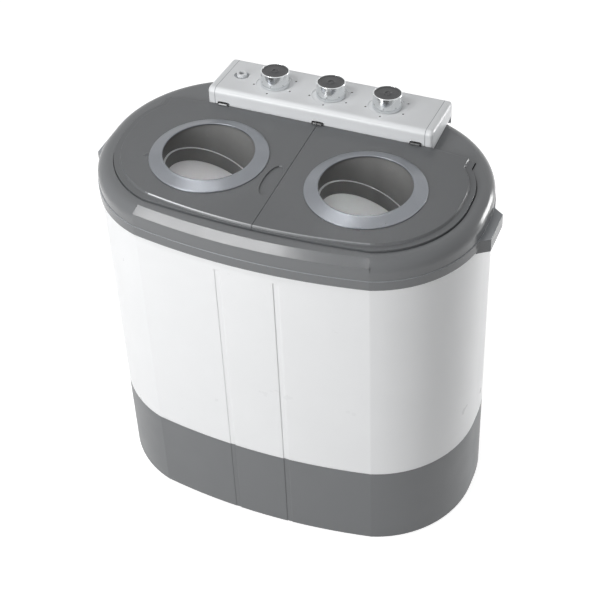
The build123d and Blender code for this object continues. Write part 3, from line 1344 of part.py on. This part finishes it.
wash_drain_hose = hose(
    [
        (TUB_PORT_X, TUB_PORT_Y, TUB_FLOOR),
        (TUB_PORT_X, TUB_PORT_Y, PORT_Z),
        (TUB_PORT_X, VALVE_Y, PORT_Z),
        (VALVE_X - VALVE_R, VALVE_Y, PORT_Z),
    ],
    HOSE_R,
    HOSE_R - HOSE_WALL,
    HOSE_BEND,
)
finish(wash_drain_hose, "wash_drain_hose")

spin_drain_hose = hose(
    [
        (SPIN_X, SPIN_PORT_Y, SPIN_FLOOR),
        (SPIN_X, SPIN_PORT_Y, PORT_Z),
        (SPIN_X, VALVE_Y, PORT_Z),
        (VALVE_X + VALVE_R, VALVE_Y, PORT_Z),
    ],
    HOSE_R,
    HOSE_R - HOSE_WALL,
    HOSE_BEND,
)
finish(spin_drain_hose, "spin_drain_hose")

with BuildPart() as drain_spigot:
    with BuildSketch(Plane.XZ.offset(-POCKET_Y - SPIGOT_OUT)):
        with Locations((VALVE_X, OUTLET_Z)):
            Circle(SPIGOT_R)
    extrude(amount=SPIGOT_OUT)
    with BuildSketch(Plane.XZ.offset(-POCKET_Y)):
        with Locations((VALVE_X, OUTLET_Z)):
            Circle(SPIGOT_ROOT_R)
    extrude(amount=WALL)
    with BuildSketch(Plane.XZ.offset(-POCKET_Y + WALL)):
        with Locations((VALVE_X, OUTLET_Z)):
            Circle(SPIGOT_FLANGE_R)
    extrude(amount=LIP_T)
    with BuildSketch(Plane.XZ.offset(-POCKET_Y - SPIGOT_OUT)):
        with Locations((VALVE_X, OUTLET_Z)):
            Circle(SPIGOT_BORE)
    extrude(amount=SPIGOT_OUT + WALL + LIP_T, mode=Mode.SUBTRACT)
finish(drain_spigot, "drain_spigot")

with BuildPart() as cord_gland:
    with BuildSketch(Plane.XZ.offset(-BODY_BACK - LIP_T)):
        with Locations((GLAND_X, GLAND_Z)):
            Circle(GLAND_R + LIP_T)
    extrude(amount=LIP_T)
    with BuildSketch(Plane.XZ.offset(-BODY_BACK)):
        with Locations((GLAND_X, GLAND_Z)):
            Circle(GLAND_R)
    extrude(amount=GLAND_LEN)
    with BuildSketch(Plane.XZ.offset(-BODY_BACK - LIP_T)):
        with Locations((GLAND_X, GLAND_Z)):
            Circle(GLAND_BORE)
    extrude(amount=GLAND_LEN + LIP_T, mode=Mode.SUBTRACT)
finish(cord_gland, "cord_gland")

# ================================================================ electrics
with BuildPart() as capacitor:
    with BuildSketch(Plane.XY.offset(FLOOR_TOP)):
        with Locations(CAPACITOR_AT):
            Circle(CAPACITOR_R)
    extrude(amount=CAPACITOR_H)
    fillet(capacitor.edges().group_by(Axis.Z)[-1], LIP_T)
finish(capacitor, "capacitor")

HARNESS_LOW = FLOOR_TOP + HARNESS_R
wiring_harness = hose(
    [
        (HARNESS_X, HARNESS_Y, RIM_Z - HARNESS_DROP),
        (HARNESS_X, HARNESS_Y, HARNESS_LOW),
        (HARNESS_X, CAPACITOR_AT[1], HARNESS_LOW),
        (CAPACITOR_AT[0] - CAPACITOR_R, CAPACITOR_AT[1], HARNESS_LOW),
    ],
    HARNESS_R,
    HARNESS_R / 2,
    HARNESS_BEND,
)
finish(wiring_harness, "wiring_harness")
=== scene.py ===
import bmesh
import bpy
import json
import math
from mathutils import Matrix, Vector


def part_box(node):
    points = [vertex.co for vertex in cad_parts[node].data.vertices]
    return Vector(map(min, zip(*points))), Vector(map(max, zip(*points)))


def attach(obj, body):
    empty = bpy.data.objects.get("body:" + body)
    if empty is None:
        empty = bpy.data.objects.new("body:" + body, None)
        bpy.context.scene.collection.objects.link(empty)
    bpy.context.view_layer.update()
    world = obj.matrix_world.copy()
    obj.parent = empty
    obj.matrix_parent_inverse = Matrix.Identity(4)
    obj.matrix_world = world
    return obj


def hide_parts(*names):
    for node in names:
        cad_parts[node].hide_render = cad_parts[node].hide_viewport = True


# Looks of a compact twin-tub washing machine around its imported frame. Metres, +Z up, front faces -Y.
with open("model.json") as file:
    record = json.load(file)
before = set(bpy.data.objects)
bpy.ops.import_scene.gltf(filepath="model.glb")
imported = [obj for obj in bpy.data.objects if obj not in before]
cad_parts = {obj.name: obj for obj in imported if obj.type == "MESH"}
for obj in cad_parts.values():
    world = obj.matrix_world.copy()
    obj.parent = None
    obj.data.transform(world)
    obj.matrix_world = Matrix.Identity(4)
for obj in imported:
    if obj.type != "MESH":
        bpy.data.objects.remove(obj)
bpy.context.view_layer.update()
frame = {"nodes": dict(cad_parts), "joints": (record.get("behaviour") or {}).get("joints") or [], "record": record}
nodes = frame["nodes"]
joints = {joint["name"]: joint for joint in frame["joints"]}

MM = 0.001
RIGHT = Vector((1, 0, 0))
UP = Vector((0, 0, 1))
KNOBS = ("wash_timer", "drain_selector", "spin_timer")
LIDS = ("wash", "spin")

# ---------------------------------------------------------------- camera
AZIMUTH = math.radians(23.6)
ELEVATION = math.radians(41.7)
ROLL = math.radians(-2.7)
TARGET = Vector((0.00742, -0.01203, 0.3405))
DISTANCE = 2.233
LENS = 92.86
SHIFT = (-0.0023, -0.030)

# ---------------------------------------------------------------- colours, as they should render
COLLAR = (111, 113, 115)
LID = (97, 99, 101)
SKIRT = (107, 109, 111)
WHITE = (240, 241, 242)
CONSOLE = (228, 230, 232)
CHROME = (135, 138, 143)
BEZEL = (230, 232, 233)
BOWL = (122, 122, 121)
BOWL_FLOOR_PAINTED_LIGHT = (238, 240, 241)
# painted light: much lighter colour for the bowls' upward-facing floors
CAP = (50, 51, 54)
TUB = (228, 230, 231)
STEEL = (182, 184, 186)
IRON = (52, 54, 57)
ALLOY = (168, 170, 173)
RUBBER = (26, 26, 27)
HOSE = (118, 120, 122)
# black of the black plastic parts, and the painted shade over the hinge knuckles and ears
BLACK_AND_SLOT_SHADE = (28, 28, 30)
ZINC = (150, 151, 147)
# painted highlight along the collar's ledge
LEDGE_HIGHLIGHT = (176, 180, 184)
# painted highlight along the lid's front edge
LID_EDGE_HIGHLIGHT = (222, 224, 226)
# painted shade along the console's seams
SEAM_SHADE = (158, 161, 165)
WHITE_SHEEN = 0.25  # specular level of the white body

# ---------------------------------------------------------------- light
PURE_WHITE = (1, 1, 1, 1)
SKY_STRENGTH = 0.31
SKY_FADE = 0.5  # share by which the sky is stronger in front and weaker behind
FLOOR_REACH = 20.0
FLOOR_TONE = 0.6
FLOOR_ROUGHNESS = 0.9
FLOOR_GLOW = 0.8  # brings the lit floor up to white in what is seen
WIDE = 180
NARROW = 10
LAMPS = (
    # name, place, aim, size, watts, spread in degrees
    ("key", (-0.82, -1.86, 1.15), (0, 0, 0.33), (0.9, 0.9), 23.3, WIDE),
    ("strip", (-0.68, -0.515, 1.88), (0, -0.17, 0.54), (0.8, 0.16), 6.2, WIDE),
    ("panel", (-0.42, 0.15, 1.95), (0, 0, 0.5), (0.5, 0.35), 1.3, WIDE),
    ("rim", (1.45, 1.5, 0.45), (0, 0, 0.3), (0.6, 0.8), 18, WIDE),
    ("left beam", (-0.114, -0.52, 1.85), (-0.114, -0.029, 0.5), (0.05, 0.05), 0.016, NARROW),
    ("right beam", (0.114, -0.52, 1.85), (0.114, -0.029, 0.5), (0.05, 0.05), 0.022, NARROW),
)


def linear(colour):
    """Linear RGBA of an 8-bit sRGB colour."""
    channels = [c / 255 for c in colour]
    return [c / 12.92 if c <= 0.04045 else ((c + 0.055) / 1.055) ** 2.4 for c in channels] + [1.0]


# ---------------------------------------------------------------- materials
MIX_UNDER, MIX_OVER, MIX_RESULT = 6, 7, 2  # the colour sockets of a Mix node
BEVEL_SAMPLES = 6
MOTTLE_DETAIL = 3.0
ROUGHNESS_DETAIL = 4.0
GRAIN_DETAIL = 2.0


class Shader:
    """A node material built up step by step around one Principled BSDF."""

    def __init__(self, name, colour, roughness, metallic=0.0):
        self.slot = name
        self.material = bpy.data.materials.new(name + "_look")
        self.material.use_nodes = True
        self.tree = self.material.node_tree
        self.bsdf = self.tree.nodes["Principled BSDF"]
        self.bsdf.inputs["Base Color"].default_value = linear(colour)
        self.bsdf.inputs["Roughness"].default_value = roughness
        self.bsdf.inputs["Metallic"].default_value = metallic
        self.colour = linear(colour)
        self.roughness = roughness
        self.coords = self.node("ShaderNodeTexCoord").outputs["Object"]
        self.normal = None
        self.painted = None

    def node(self, kind, **values):
        made = self.tree.nodes.new(kind)
        for key, value in values.items():
            setattr(made, key, value)
        return made

    def link(self, a, b):
        self.tree.links.new(a, b)

    def noise(self, scale, detail, stretch=(1, 1, 1)):
        mapping = self.node("ShaderNodeMapping")
        mapping.inputs["Scale"].default_value = stretch
        self.link(self.coords, mapping.inputs["Vector"])
        texture = self.node("ShaderNodeTexNoise")
        texture.inputs["Scale"].default_value = scale
        texture.inputs["Detail"].default_value = detail
        self.link(mapping.outputs["Vector"], texture.inputs["Vector"])
        return texture.outputs["Fac"]

    def ramp(self, value, low, high, start=0.2, end=0.8):
        ramp = self.node("ShaderNodeMapRange", interpolation_type="SMOOTHSTEP")
        ramp.inputs["From Min"].default_value = start
        ramp.inputs["From Max"].default_value = end
        ramp.inputs["To Min"].default_value = low
        ramp.inputs["To Max"].default_value = high
        self.link(value, ramp.inputs["Value"])
        return ramp.outputs["Result"]

    def mottle(self, scale, amount, stretch=(1, 1, 1)):
        """Slow change of the colour's brightness over the surface."""
        shade = self.ramp(self.noise(scale, MOTTLE_DETAIL, stretch), 1 - amount, 1 + amount)
        scaled = self.node("ShaderNodeVectorMath", operation="SCALE")
        scaled.inputs[0].default_value = self.colour[:3]
        self.link(shade, scaled.inputs["Scale"])
        self.paint(scaled.outputs[0])

    def paint(self, socket):
        self.link(socket, self.bsdf.inputs["Base Color"])
        self.painted = socket

    def vary_roughness(self, scale, amount, stretch=(1, 1, 1)):
        least, most = self.roughness - amount, self.roughness + amount
        rough = self.ramp(self.noise(scale, ROUGHNESS_DETAIL, stretch), least, most)
        self.link(rough, self.bsdf.inputs["Roughness"])

    def soften(self, radius):
        """Rounded highlights along the solid's edges."""
        bevel = self.node("ShaderNodeBevel", samples=BEVEL_SAMPLES)
        bevel.inputs["Radius"].default_value = radius
        self.normal = bevel.outputs["Normal"]
        self.link(self.normal, self.bsdf.inputs["Normal"])

    def bump(self, value, depth):
        made = self.node("ShaderNodeBump")
        made.inputs["Distance"].default_value = depth
        self.link(value, made.inputs["Height"])
        if self.normal:
            self.link(self.normal, made.inputs["Normal"])
        self.normal = made.outputs["Normal"]
        self.link(self.normal, self.bsdf.inputs["Normal"])

    def mask(self, value, colour):
        """Mixes another colour over the present one where value is 1."""
        mix = self.node("ShaderNodeMix", data_type="RGBA")
        self.link(value, mix.inputs["Factor"])
        self.link(self.painted, mix.inputs[MIX_UNDER])
        mix.inputs[MIX_OVER].default_value = linear(colour)
        self.paint(mix.outputs[MIX_RESULT])

    def axis(self, name, vector=None):
        split = self.node("ShaderNodeSeparateXYZ")
        self.link(vector or self.coords, split.inputs[0])
        return split.outputs[name]

    def facing(self, name):
        """Component of the surface's own normal."""
        return self.axis(name, self.node("ShaderNodeNewGeometry").outputs["True Normal"])

    def math(self, operation, a, b=0.0):
        made = self.node("ShaderNodeMath", operation=operation)
        for socket, value in zip(made.inputs, (a, b)):
            if isinstance(value, (int, float)):
                socket.default_value = value
            else:
                self.link(value, socket)
        return made.outputs[0]


# scale of the pattern, and how far it changes tone or roughness
FLOW_MARKS = (9.0, 0.012)
SATIN_PATCHES = (26.0, 0.03)
TARNISH = (40.0, 0.03)
WEAR = (60.0, 0.04)
# scale of the grain, and its depth
MOULD_GRAIN, MOULD_DEPTH = 420.0, 0.006 * MM
METAL_GRAIN, METAL_DEPTH = 300.0, 0.002 * MM


def moulded(name, colour, roughness, edge, depth=MOULD_DEPTH):
    """Smooth moulded plastic: faint flow marks, a fine grain and soft edges."""
    shader = Shader(name, colour, roughness)
    shader.mottle(*FLOW_MARKS)
    shader.vary_roughness(*SATIN_PATCHES)
    shader.soften(edge)
    shader.bump(shader.noise(MOULD_GRAIN, GRAIN_DETAIL), depth)
    return shader


def metal(name, colour, roughness, edge, stretch=(1, 1, 1)):
    """Bare metal with a faint brushed or worn roughness."""
    shader = Shader(name, colour, roughness, metallic=1.0)
    shader.mottle(*TARNISH, stretch)
    shader.vary_roughness(*WEAR, stretch)
    if edge:
        shader.soften(edge)
    shader.bump(shader.noise(METAL_GRAIN, GRAIN_DETAIL, stretch), METAL_DEPTH)
    return shader


LID_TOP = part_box("wash_window_ring")[0].z
LEDGE_Z = 515.5 * MM  # top of the collar's lower band
CAP_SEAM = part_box("console_fascia")[1].x
CAP_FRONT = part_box("console_left_cap")[0].y
KNUCKLE_CLEAR = 0.25 * MM  # what is higher than this above the lid is a hinge knuckle, painted black for the shade in its slot
EAR_CLEAR = 0.1 * MM
LEDGE_HIGHLIGHT_WIDTHS = (0.15 * MM, 0.4 * MM)  # half widths of the painted highlight line along the ledge: full and faded out
LEDGE_HIGHLIGHT_SHARE = 0.7
SEAM_SHADE_LINE = (0.25 * MM, 0.6 * MM)
SLOPE = (-0.90, -0.86)  # how far the lid's front slope looks forwards
SLOPE_FOOT = (LID_TOP - 2.0 * MM, LID_TOP - 1.4 * MM)
SLOPE_HIGHLIGHT_FADE = (-160 * MM, 20 * MM)  # along the painted highlight on the slope's edge, left to right
SLOPE_HIGHLIGHT_END_SHARE = 0.25
BOWL_FLAT = (0.6, 0.75)  # how far a bowl's floor looks up, where it takes the painted light
SHAFT_BRUSHING = (1, 1, 9)
BASKET_BRUSHING = (1, 1, 14)

skirt = moulded("skirt_plastic", SKIRT, 0.42, 1.6 * MM)

collar = moulded("collar_plastic", COLLAR, 0.20, 0.7 * MM)
# painted highlight: a light line along the collar's ledge, where its edge would catch the light
from_ledge = collar.math("ABSOLUTE", collar.math("SUBTRACT", collar.axis("Z"), LEDGE_Z))
collar.mask(collar.ramp(from_ledge, LEDGE_HIGHLIGHT_SHARE, 0.0, *LEDGE_HIGHLIGHT_WIDTHS), LEDGE_HIGHLIGHT)

lid = moulded("lid_plastic", LID, 0.30, 1.0 * MM)
# painted shade: the hinge knuckles are coloured black to stand for the shade inside their slots
knuckle_painted_shade = lid.math("GREATER_THAN", lid.axis("Z"), LID_TOP + KNUCKLE_CLEAR)
lid.mask(knuckle_painted_shade, BLACK_AND_SLOT_SHADE)
# painted highlight: a light line along the lid's front slope, fading towards the right
front_slope = lid.ramp(lid.facing("Y"), 1.0, 0.0, *SLOPE)
above_foot = lid.ramp(lid.axis("Z"), 0.0, 1.0, *SLOPE_FOOT)
painted_edge_highlight = lid.math("MULTIPLY", front_slope, above_foot)
to_right = lid.ramp(lid.axis("X"), 1.0, SLOPE_HIGHLIGHT_END_SHARE, *SLOPE_HIGHLIGHT_FADE)
lid.mask(lid.math("MULTIPLY", painted_edge_highlight, to_right), LID_EDGE_HIGHLIGHT)

white = moulded("white_plastic", WHITE, 0.30, 2.2 * MM)
white.bsdf.inputs["Specular IOR Level"].default_value = WHITE_SHEEN

console = moulded("console_plastic", CONSOLE, 0.32, 1.0 * MM)
# painted shade: the hinge ears at the console's foot are coloured black to stand for the shade in the slots
ear_painted_shade = console.math("LESS_THAN", console.axis("Y"), CAP_FRONT - EAR_CLEAR)
console.mask(ear_painted_shade, BLACK_AND_SLOT_SHADE)
# painted shade: a darker line along the seams between the fascia and its end caps
from_middle = console.math("ABSOLUTE", console.axis("X"))
from_seam = console.math("ABSOLUTE", console.math("SUBTRACT", from_middle, CAP_SEAM))
console.mask(console.ramp(from_seam, 1.0, 0.0, *SEAM_SHADE_LINE), SEAM_SHADE)

bowl = moulded("smoked_plastic", BOWL, 0.22, 0.6 * MM)
# painted light: the bowls' upward faces take a much lighter colour, standing for the light on their floors
bowl.mask(bowl.ramp(bowl.facing("Z"), 0.0, 1.0, *BOWL_FLAT), BOWL_FLOOR_PAINTED_LIGHT)

# the turned rings and knobs have their own roundings, so their metals soften no edge
chrome = metal("bright_trim", CHROME, 0.31, 0)
bezel = metal("bezel", BEZEL, 0.18, 0)
cap = moulded("knob_cap_plastic", CAP, 0.22, 0.4 * MM)
tub = moulded("tub_plastic", TUB, 0.34, 1.0 * MM)
steel = metal("basket_metal", STEEL, 0.30, 0.4 * MM, BASKET_BRUSHING)
shaft = metal("shaft_steel", STEEL, 0.26, 0.3 * MM, SHAFT_BRUSHING)
iron = moulded("motor_paint", IRON, 0.38, 1.0 * MM, 0.05 * MM)
alloy = metal("cast_alloy", ALLOY, 0.42, 0.6 * MM)
rubber = moulded("black_rubber", RUBBER, 0.72, 0.8 * MM, 0.04 * MM)
hose = moulded("grey_hose", HOSE, 0.55, 0.6 * MM, 0.04 * MM)
black = moulded("black_plastic", BLACK_AND_SLOT_SHADE, 0.42, 0.8 * MM, 0.03 * MM)
zinc = metal("zinc_steel", ZINC, 0.36, 0.3 * MM)
MATERIALS = {
    shader.slot: shader.material
    for shader in (
        skirt, collar, lid, white, console, chrome, bowl, cap, tub,
        steel, shaft, iron, alloy, rubber, hose, black, zinc,
    )
}
for part in frame["record"]["subparts"]:
    target = nodes[part["node"]]
    target.data.materials.clear()
    target.data.materials.append(MATERIALS[part["material_slot"]])


# ---------------------------------------------------------------- turned pieces
CORNER_STEPS = 4
TURNS = 144
MERGE = 0.0001 * MM
SHARP_FROM = math.radians(40)
RIPPLE = 0.0012
RIPPLE_WAVES = ((11, 0, 1.0), (17, 1, 0.7))  # waves per turn, phase, strength
RIPPLE_BASE = 2  # keeps every wave inside the outline


def rounded(points):
    """Outline through (radius, height, corner radius) points, each corner turned into an arc."""
    outline = []
    for i, (r, h, corner) in enumerate(points):
        here = Vector((r, h))
        if not corner:
            outline.append(here)
            continue
        before = (Vector(points[i - 1][:2]) - here).normalized()
        after = (Vector(points[i + 1][:2]) - here).normalized()
        half = before.angle(after) / 2
        start = here + before * corner / math.tan(half)
        end = here + after * corner / math.tan(half)
        for k in range(CORNER_STEPS + 1):
            t = k / CORNER_STEPS
            outline.append(start * (1 - t) ** 2 + here * 2 * t * (1 - t) + end * t ** 2)
    return outline


def turned(name, node, body, look, outline, centre, axis, ripple=0.0):
    """Piece of revolution that stands for a CAD node, with an optional faint unevenness round it."""
    side = axis.orthogonal().normalized()
    other = axis.cross(side)
    vertices = []
    for k in range(TURNS):
        angle = 2 * math.pi * k / TURNS
        out = side * math.cos(angle) + other * math.sin(angle)
        waves = sum(math.sin(n * angle + phase) * strength for n, phase, strength in RIPPLE_WAVES)
        wave = 1 - ripple * (RIPPLE_BASE + waves)
        vertices += [centre + axis * h + out * r * wave for r, h in outline]
    count = len(outline)
    faces = []
    for k in range(TURNS):
        a, b = k * count, (k + 1) % TURNS * count
        faces += [(a + i, a + i + 1, b + i + 1, b + i) for i in range(count - 1)]
    mesh = bpy.data.meshes.new(name)
    mesh.from_pydata(vertices, [], faces)
    mesh.materials.append(look.material)
    mesh.validate()
    bm = bmesh.new()
    bm.from_mesh(mesh)
    bmesh.ops.remove_doubles(bm, verts=bm.verts, dist=MERGE)
    bmesh.ops.recalc_face_normals(bm, faces=bm.faces)
    bm.to_mesh(mesh)
    bm.free()
    mesh.shade_smooth()
    mesh.set_sharp_from_angle(angle=SHARP_FROM)
    piece = bpy.data.objects.new(name, mesh)
    bpy.context.scene.collection.objects.link(piece)
    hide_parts(node)
    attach(piece, body)


PANEL_TILT = math.radians(5.3)
OUT = Vector((0, math.sin(PANEL_TILT), math.cos(PANEL_TILT)))
KNOB_R, KNOB_TOP_R, KNOB_H = 21.0 * MM, 20.3 * MM, 21.5 * MM
KNOB_SEAT = -0.4 * MM
KNOB_HOLE_R = 3.2 * MM
INSET = 0.1 * MM  # how far a cap's face and a ring stay inside their solids
CAP_R, CAP_T = 19.0 * MM, 2.0 * MM
RING_OUT, RING_IN, RING_H = 83.0 * MM, 63.3 * MM, 8.0 * MM


def make_knob(name):
    centre = Vector(joints[name + "_turn"]["pos_m"])
    top = KNOB_SEAT + KNOB_H
    body = name + "_dial"
    shell = rounded([
        (KNOB_HOLE_R, KNOB_SEAT, 0),
        (KNOB_R, KNOB_SEAT, 0.5 * MM),
        (KNOB_TOP_R, top, 0.6 * MM),
        (CAP_R, top, 0.25 * MM),
        (CAP_R, top - CAP_T, 0),
        (0, top - CAP_T, 0),
    ])
    turned(name + "_bezel", name + "_knob", body, bezel, shell, centre, OUT, RIPPLE)
    face = rounded([
        (CAP_R - INSET, top - CAP_T + INSET, 0),
        (CAP_R - INSET, top - 0.5 * MM, 0.4 * MM),
        (CAP_R - 2.2 * MM, top - 0.5 * MM, 0.3 * MM),
        (CAP_R - 3.0 * MM, top - 0.9 * MM, 0.3 * MM),
        (6.0 * MM, top - 0.75 * MM, 0.3 * MM),
        (5.2 * MM, top - 0.2 * MM, 0.3 * MM),
        (4.2 * MM, top - 0.2 * MM, 0.3 * MM),
        (3.2 * MM, top - 1.2 * MM, 0.5 * MM),
        (0, top - 1.3 * MM, 0),
    ])
    turned(name + "_face", name + "_knob_cap", body, cap, face, centre, OUT)


def make_ring(name):
    low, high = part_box(name + "_window_ring")
    middle = (low + high) / 2
    centre = Vector((middle.x, middle.y, low.z))
    outline = rounded([
        (RING_IN + 2.7 * MM, 0.05 * MM, 0),
        (RING_OUT - INSET, 0.05 * MM, 0),
        (RING_OUT - INSET, 1.5 * MM, 0.7 * MM),
        (RING_OUT - 2.3 * MM, 2.5 * MM, 0.8 * MM),
        (RING_IN + 3.6 * MM, RING_H - 0.9 * MM, 1.2 * MM),
        (RING_IN + 2.2 * MM, RING_H - INSET, 0.6 * MM),
        (RING_IN + INSET, RING_H - INSET, 0.9 * MM),
        (RING_IN + INSET, RING_H - 2.4 * MM, 0),
        (RING_IN + 2.7 * MM, RING_H - 2.4 * MM, 0),
    ])
    node, body = name + "_window_ring", name + "_lid"
    turned(name + "_window_trim", node, body, chrome, outline, centre, UP)


for knob_name in KNOBS:
    make_knob(knob_name)
for lid_name in LIDS:
    make_ring(lid_name)

# ---------------------------------------------------------------- raised marks round the dials
MARK_REACH, MARK_H = 30.5 * MM, 0.15 * MM
MARK_R, MARK_TOP_R = 1.5 * MM, 1.275 * MM
MARK_SIDES = 20
MARK_ANGLES = (-115, -57, 57, 115, 180)


def make_marks():
    bm = bmesh.new()
    along = OUT.cross(RIGHT)
    tilt = UP.rotation_difference(OUT).to_matrix().to_4x4()
    for knob_name in KNOBS:
        centre = Vector(joints[knob_name + "_turn"]["pos_m"])
        for angle in MARK_ANGLES:
            turn = math.radians(angle)
            spot = centre + (RIGHT * math.sin(turn) + along * math.cos(turn)) * MARK_REACH
            bmesh.ops.create_cone(
                bm,
                cap_ends=True,
                segments=MARK_SIDES,
                radius1=MARK_R,
                radius2=MARK_TOP_R,
                depth=MARK_H,
                matrix=Matrix.Translation(spot + OUT * MARK_H / 2) @ tilt,
            )
    mesh = bpy.data.meshes.new("dial_marks")
    bm.to_mesh(mesh)
    bm.free()
    mesh.materials.append(MATERIALS["knob_cap_plastic"])
    marks = bpy.data.objects.new("dial_marks", mesh)
    bpy.context.scene.collection.objects.link(marks)
    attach(marks, "cabinet")


make_marks()


# ---------------------------------------------------------------- stage
def make_camera():
    back = Vector((
        math.sin(AZIMUTH) * math.cos(ELEVATION),
        -math.cos(AZIMUTH) * math.cos(ELEVATION),
        math.sin(ELEVATION),
    ))
    right = UP.cross(back).normalized()
    up = back.cross(right)
    tilted_right = right * math.cos(ROLL) + up * math.sin(ROLL)
    tilted_up = up * math.cos(ROLL) - right * math.sin(ROLL)
    data = bpy.data.cameras.new("camera")
    data.lens = LENS
    data.shift_x, data.shift_y = SHIFT
    camera = bpy.data.objects.new("camera", data)
    turn = Matrix((tilted_right, tilted_up, back)).transposed().to_4x4()
    camera.matrix_world = Matrix.Translation(TARGET + back * DISTANCE) @ turn
    bpy.context.scene.collection.objects.link(camera)
    bpy.context.scene.camera = camera


def seen_rays(tree):
    """Socket that is 1 for rays from the camera, off a glossy surface or through a clear one."""
    path = tree.nodes.new("ShaderNodeLightPath")
    seen = path.outputs["Is Camera Ray"]
    for kind in ("Is Glossy Ray", "Is Transmission Ray"):
        either = tree.nodes.new("ShaderNodeMath")
        either.operation = "MAXIMUM"
        tree.links.new(seen, either.inputs[0])
        tree.links.new(path.outputs[kind], either.inputs[1])
        seen = either.outputs[0]
    return seen


def make_floor():
    """Pale floor that is seen as pure white except for the object's soft shadow."""
    mesh = bpy.data.meshes.new("floor")
    corners = [(x * FLOOR_REACH, y * FLOOR_REACH, 0) for x, y in ((-1, -1), (1, -1), (1, 1), (-1, 1))]
    mesh.from_pydata(corners, [], [(0, 1, 2, 3)])
    floor = bpy.data.objects.new("floor", mesh)
    bpy.context.scene.collection.objects.link(floor)
    material = bpy.data.materials.new("floor")
    material.use_nodes = True
    tree = material.node_tree
    bsdf = tree.nodes["Principled BSDF"]
    bsdf.inputs["Base Color"].default_value = (FLOOR_TONE, FLOOR_TONE, FLOOR_TONE, 1)
    bsdf.inputs["Roughness"].default_value = FLOOR_ROUGHNESS
    bsdf.inputs["Specular IOR Level"].default_value = 0.0
    glow = tree.nodes.new("ShaderNodeMath")
    glow.operation = "MULTIPLY"
    glow.inputs[1].default_value = FLOOR_GLOW
    tree.links.new(seen_rays(tree), glow.inputs[0])
    bsdf.inputs["Emission Color"].default_value = PURE_WHITE
    tree.links.new(glow.outputs[0], bsdf.inputs["Emission Strength"])
    mesh.materials.append(material)


def make_world():
    """Grey sky that lights the object, seen as pure white."""
    world = bpy.data.worlds.new("world")
    bpy.context.scene.world = world
    world.use_nodes = True
    tree = world.node_tree
    light = tree.nodes["Background"]
    split = tree.nodes.new("ShaderNodeSeparateXYZ")
    tree.links.new(tree.nodes.new("ShaderNodeTexCoord").outputs["Generated"], split.inputs[0])
    fade = tree.nodes.new("ShaderNodeMapRange")
    fade.inputs["From Min"].default_value = -1.0
    fade.inputs["To Min"].default_value = SKY_STRENGTH * (1 + SKY_FADE)
    fade.inputs["To Max"].default_value = SKY_STRENGTH * (1 - SKY_FADE)
    tree.links.new(split.outputs["Y"], fade.inputs["Value"])
    tree.links.new(fade.outputs["Result"], light.inputs["Strength"])
    white_sky = tree.nodes.new("ShaderNodeBackground")
    choose = tree.nodes.new("ShaderNodeMixShader")
    tree.links.new(seen_rays(tree), choose.inputs["Fac"])
    tree.links.new(light.outputs[0], choose.inputs[1])
    tree.links.new(white_sky.outputs[0], choose.inputs[2])
    tree.links.new(choose.outputs[0], tree.nodes["World Output"].inputs["Surface"])
    light.inputs["Color"].default_value = PURE_WHITE
    white_sky.inputs["Color"].default_value = PURE_WHITE


def area_light(name, place, aim, size, watts, spread):
    """Rectangular lamp whose first side runs along X as far as its aim lets it."""
    data = bpy.data.lights.new(name, "AREA")
    data.shape = "RECTANGLE"
    data.size, data.size_y = size
    data.energy = watts
    data.spread = math.radians(spread)
    lamp = bpy.data.objects.new(name, data)
    back = (Vector(place) - Vector(aim)).normalized()
    along = (RIGHT - back * back.x).normalized()
    turn = Matrix((along, back.cross(along), back)).transposed().to_4x4()
    lamp.matrix_world = Matrix.Translation(place) @ turn
    bpy.context.scene.collection.objects.link(lamp)


make_camera()
make_floor()
make_world()
for lamp in LAMPS:
    area_light(*lamp)
bpy.context.scene.view_settings.view_transform = "Standard"
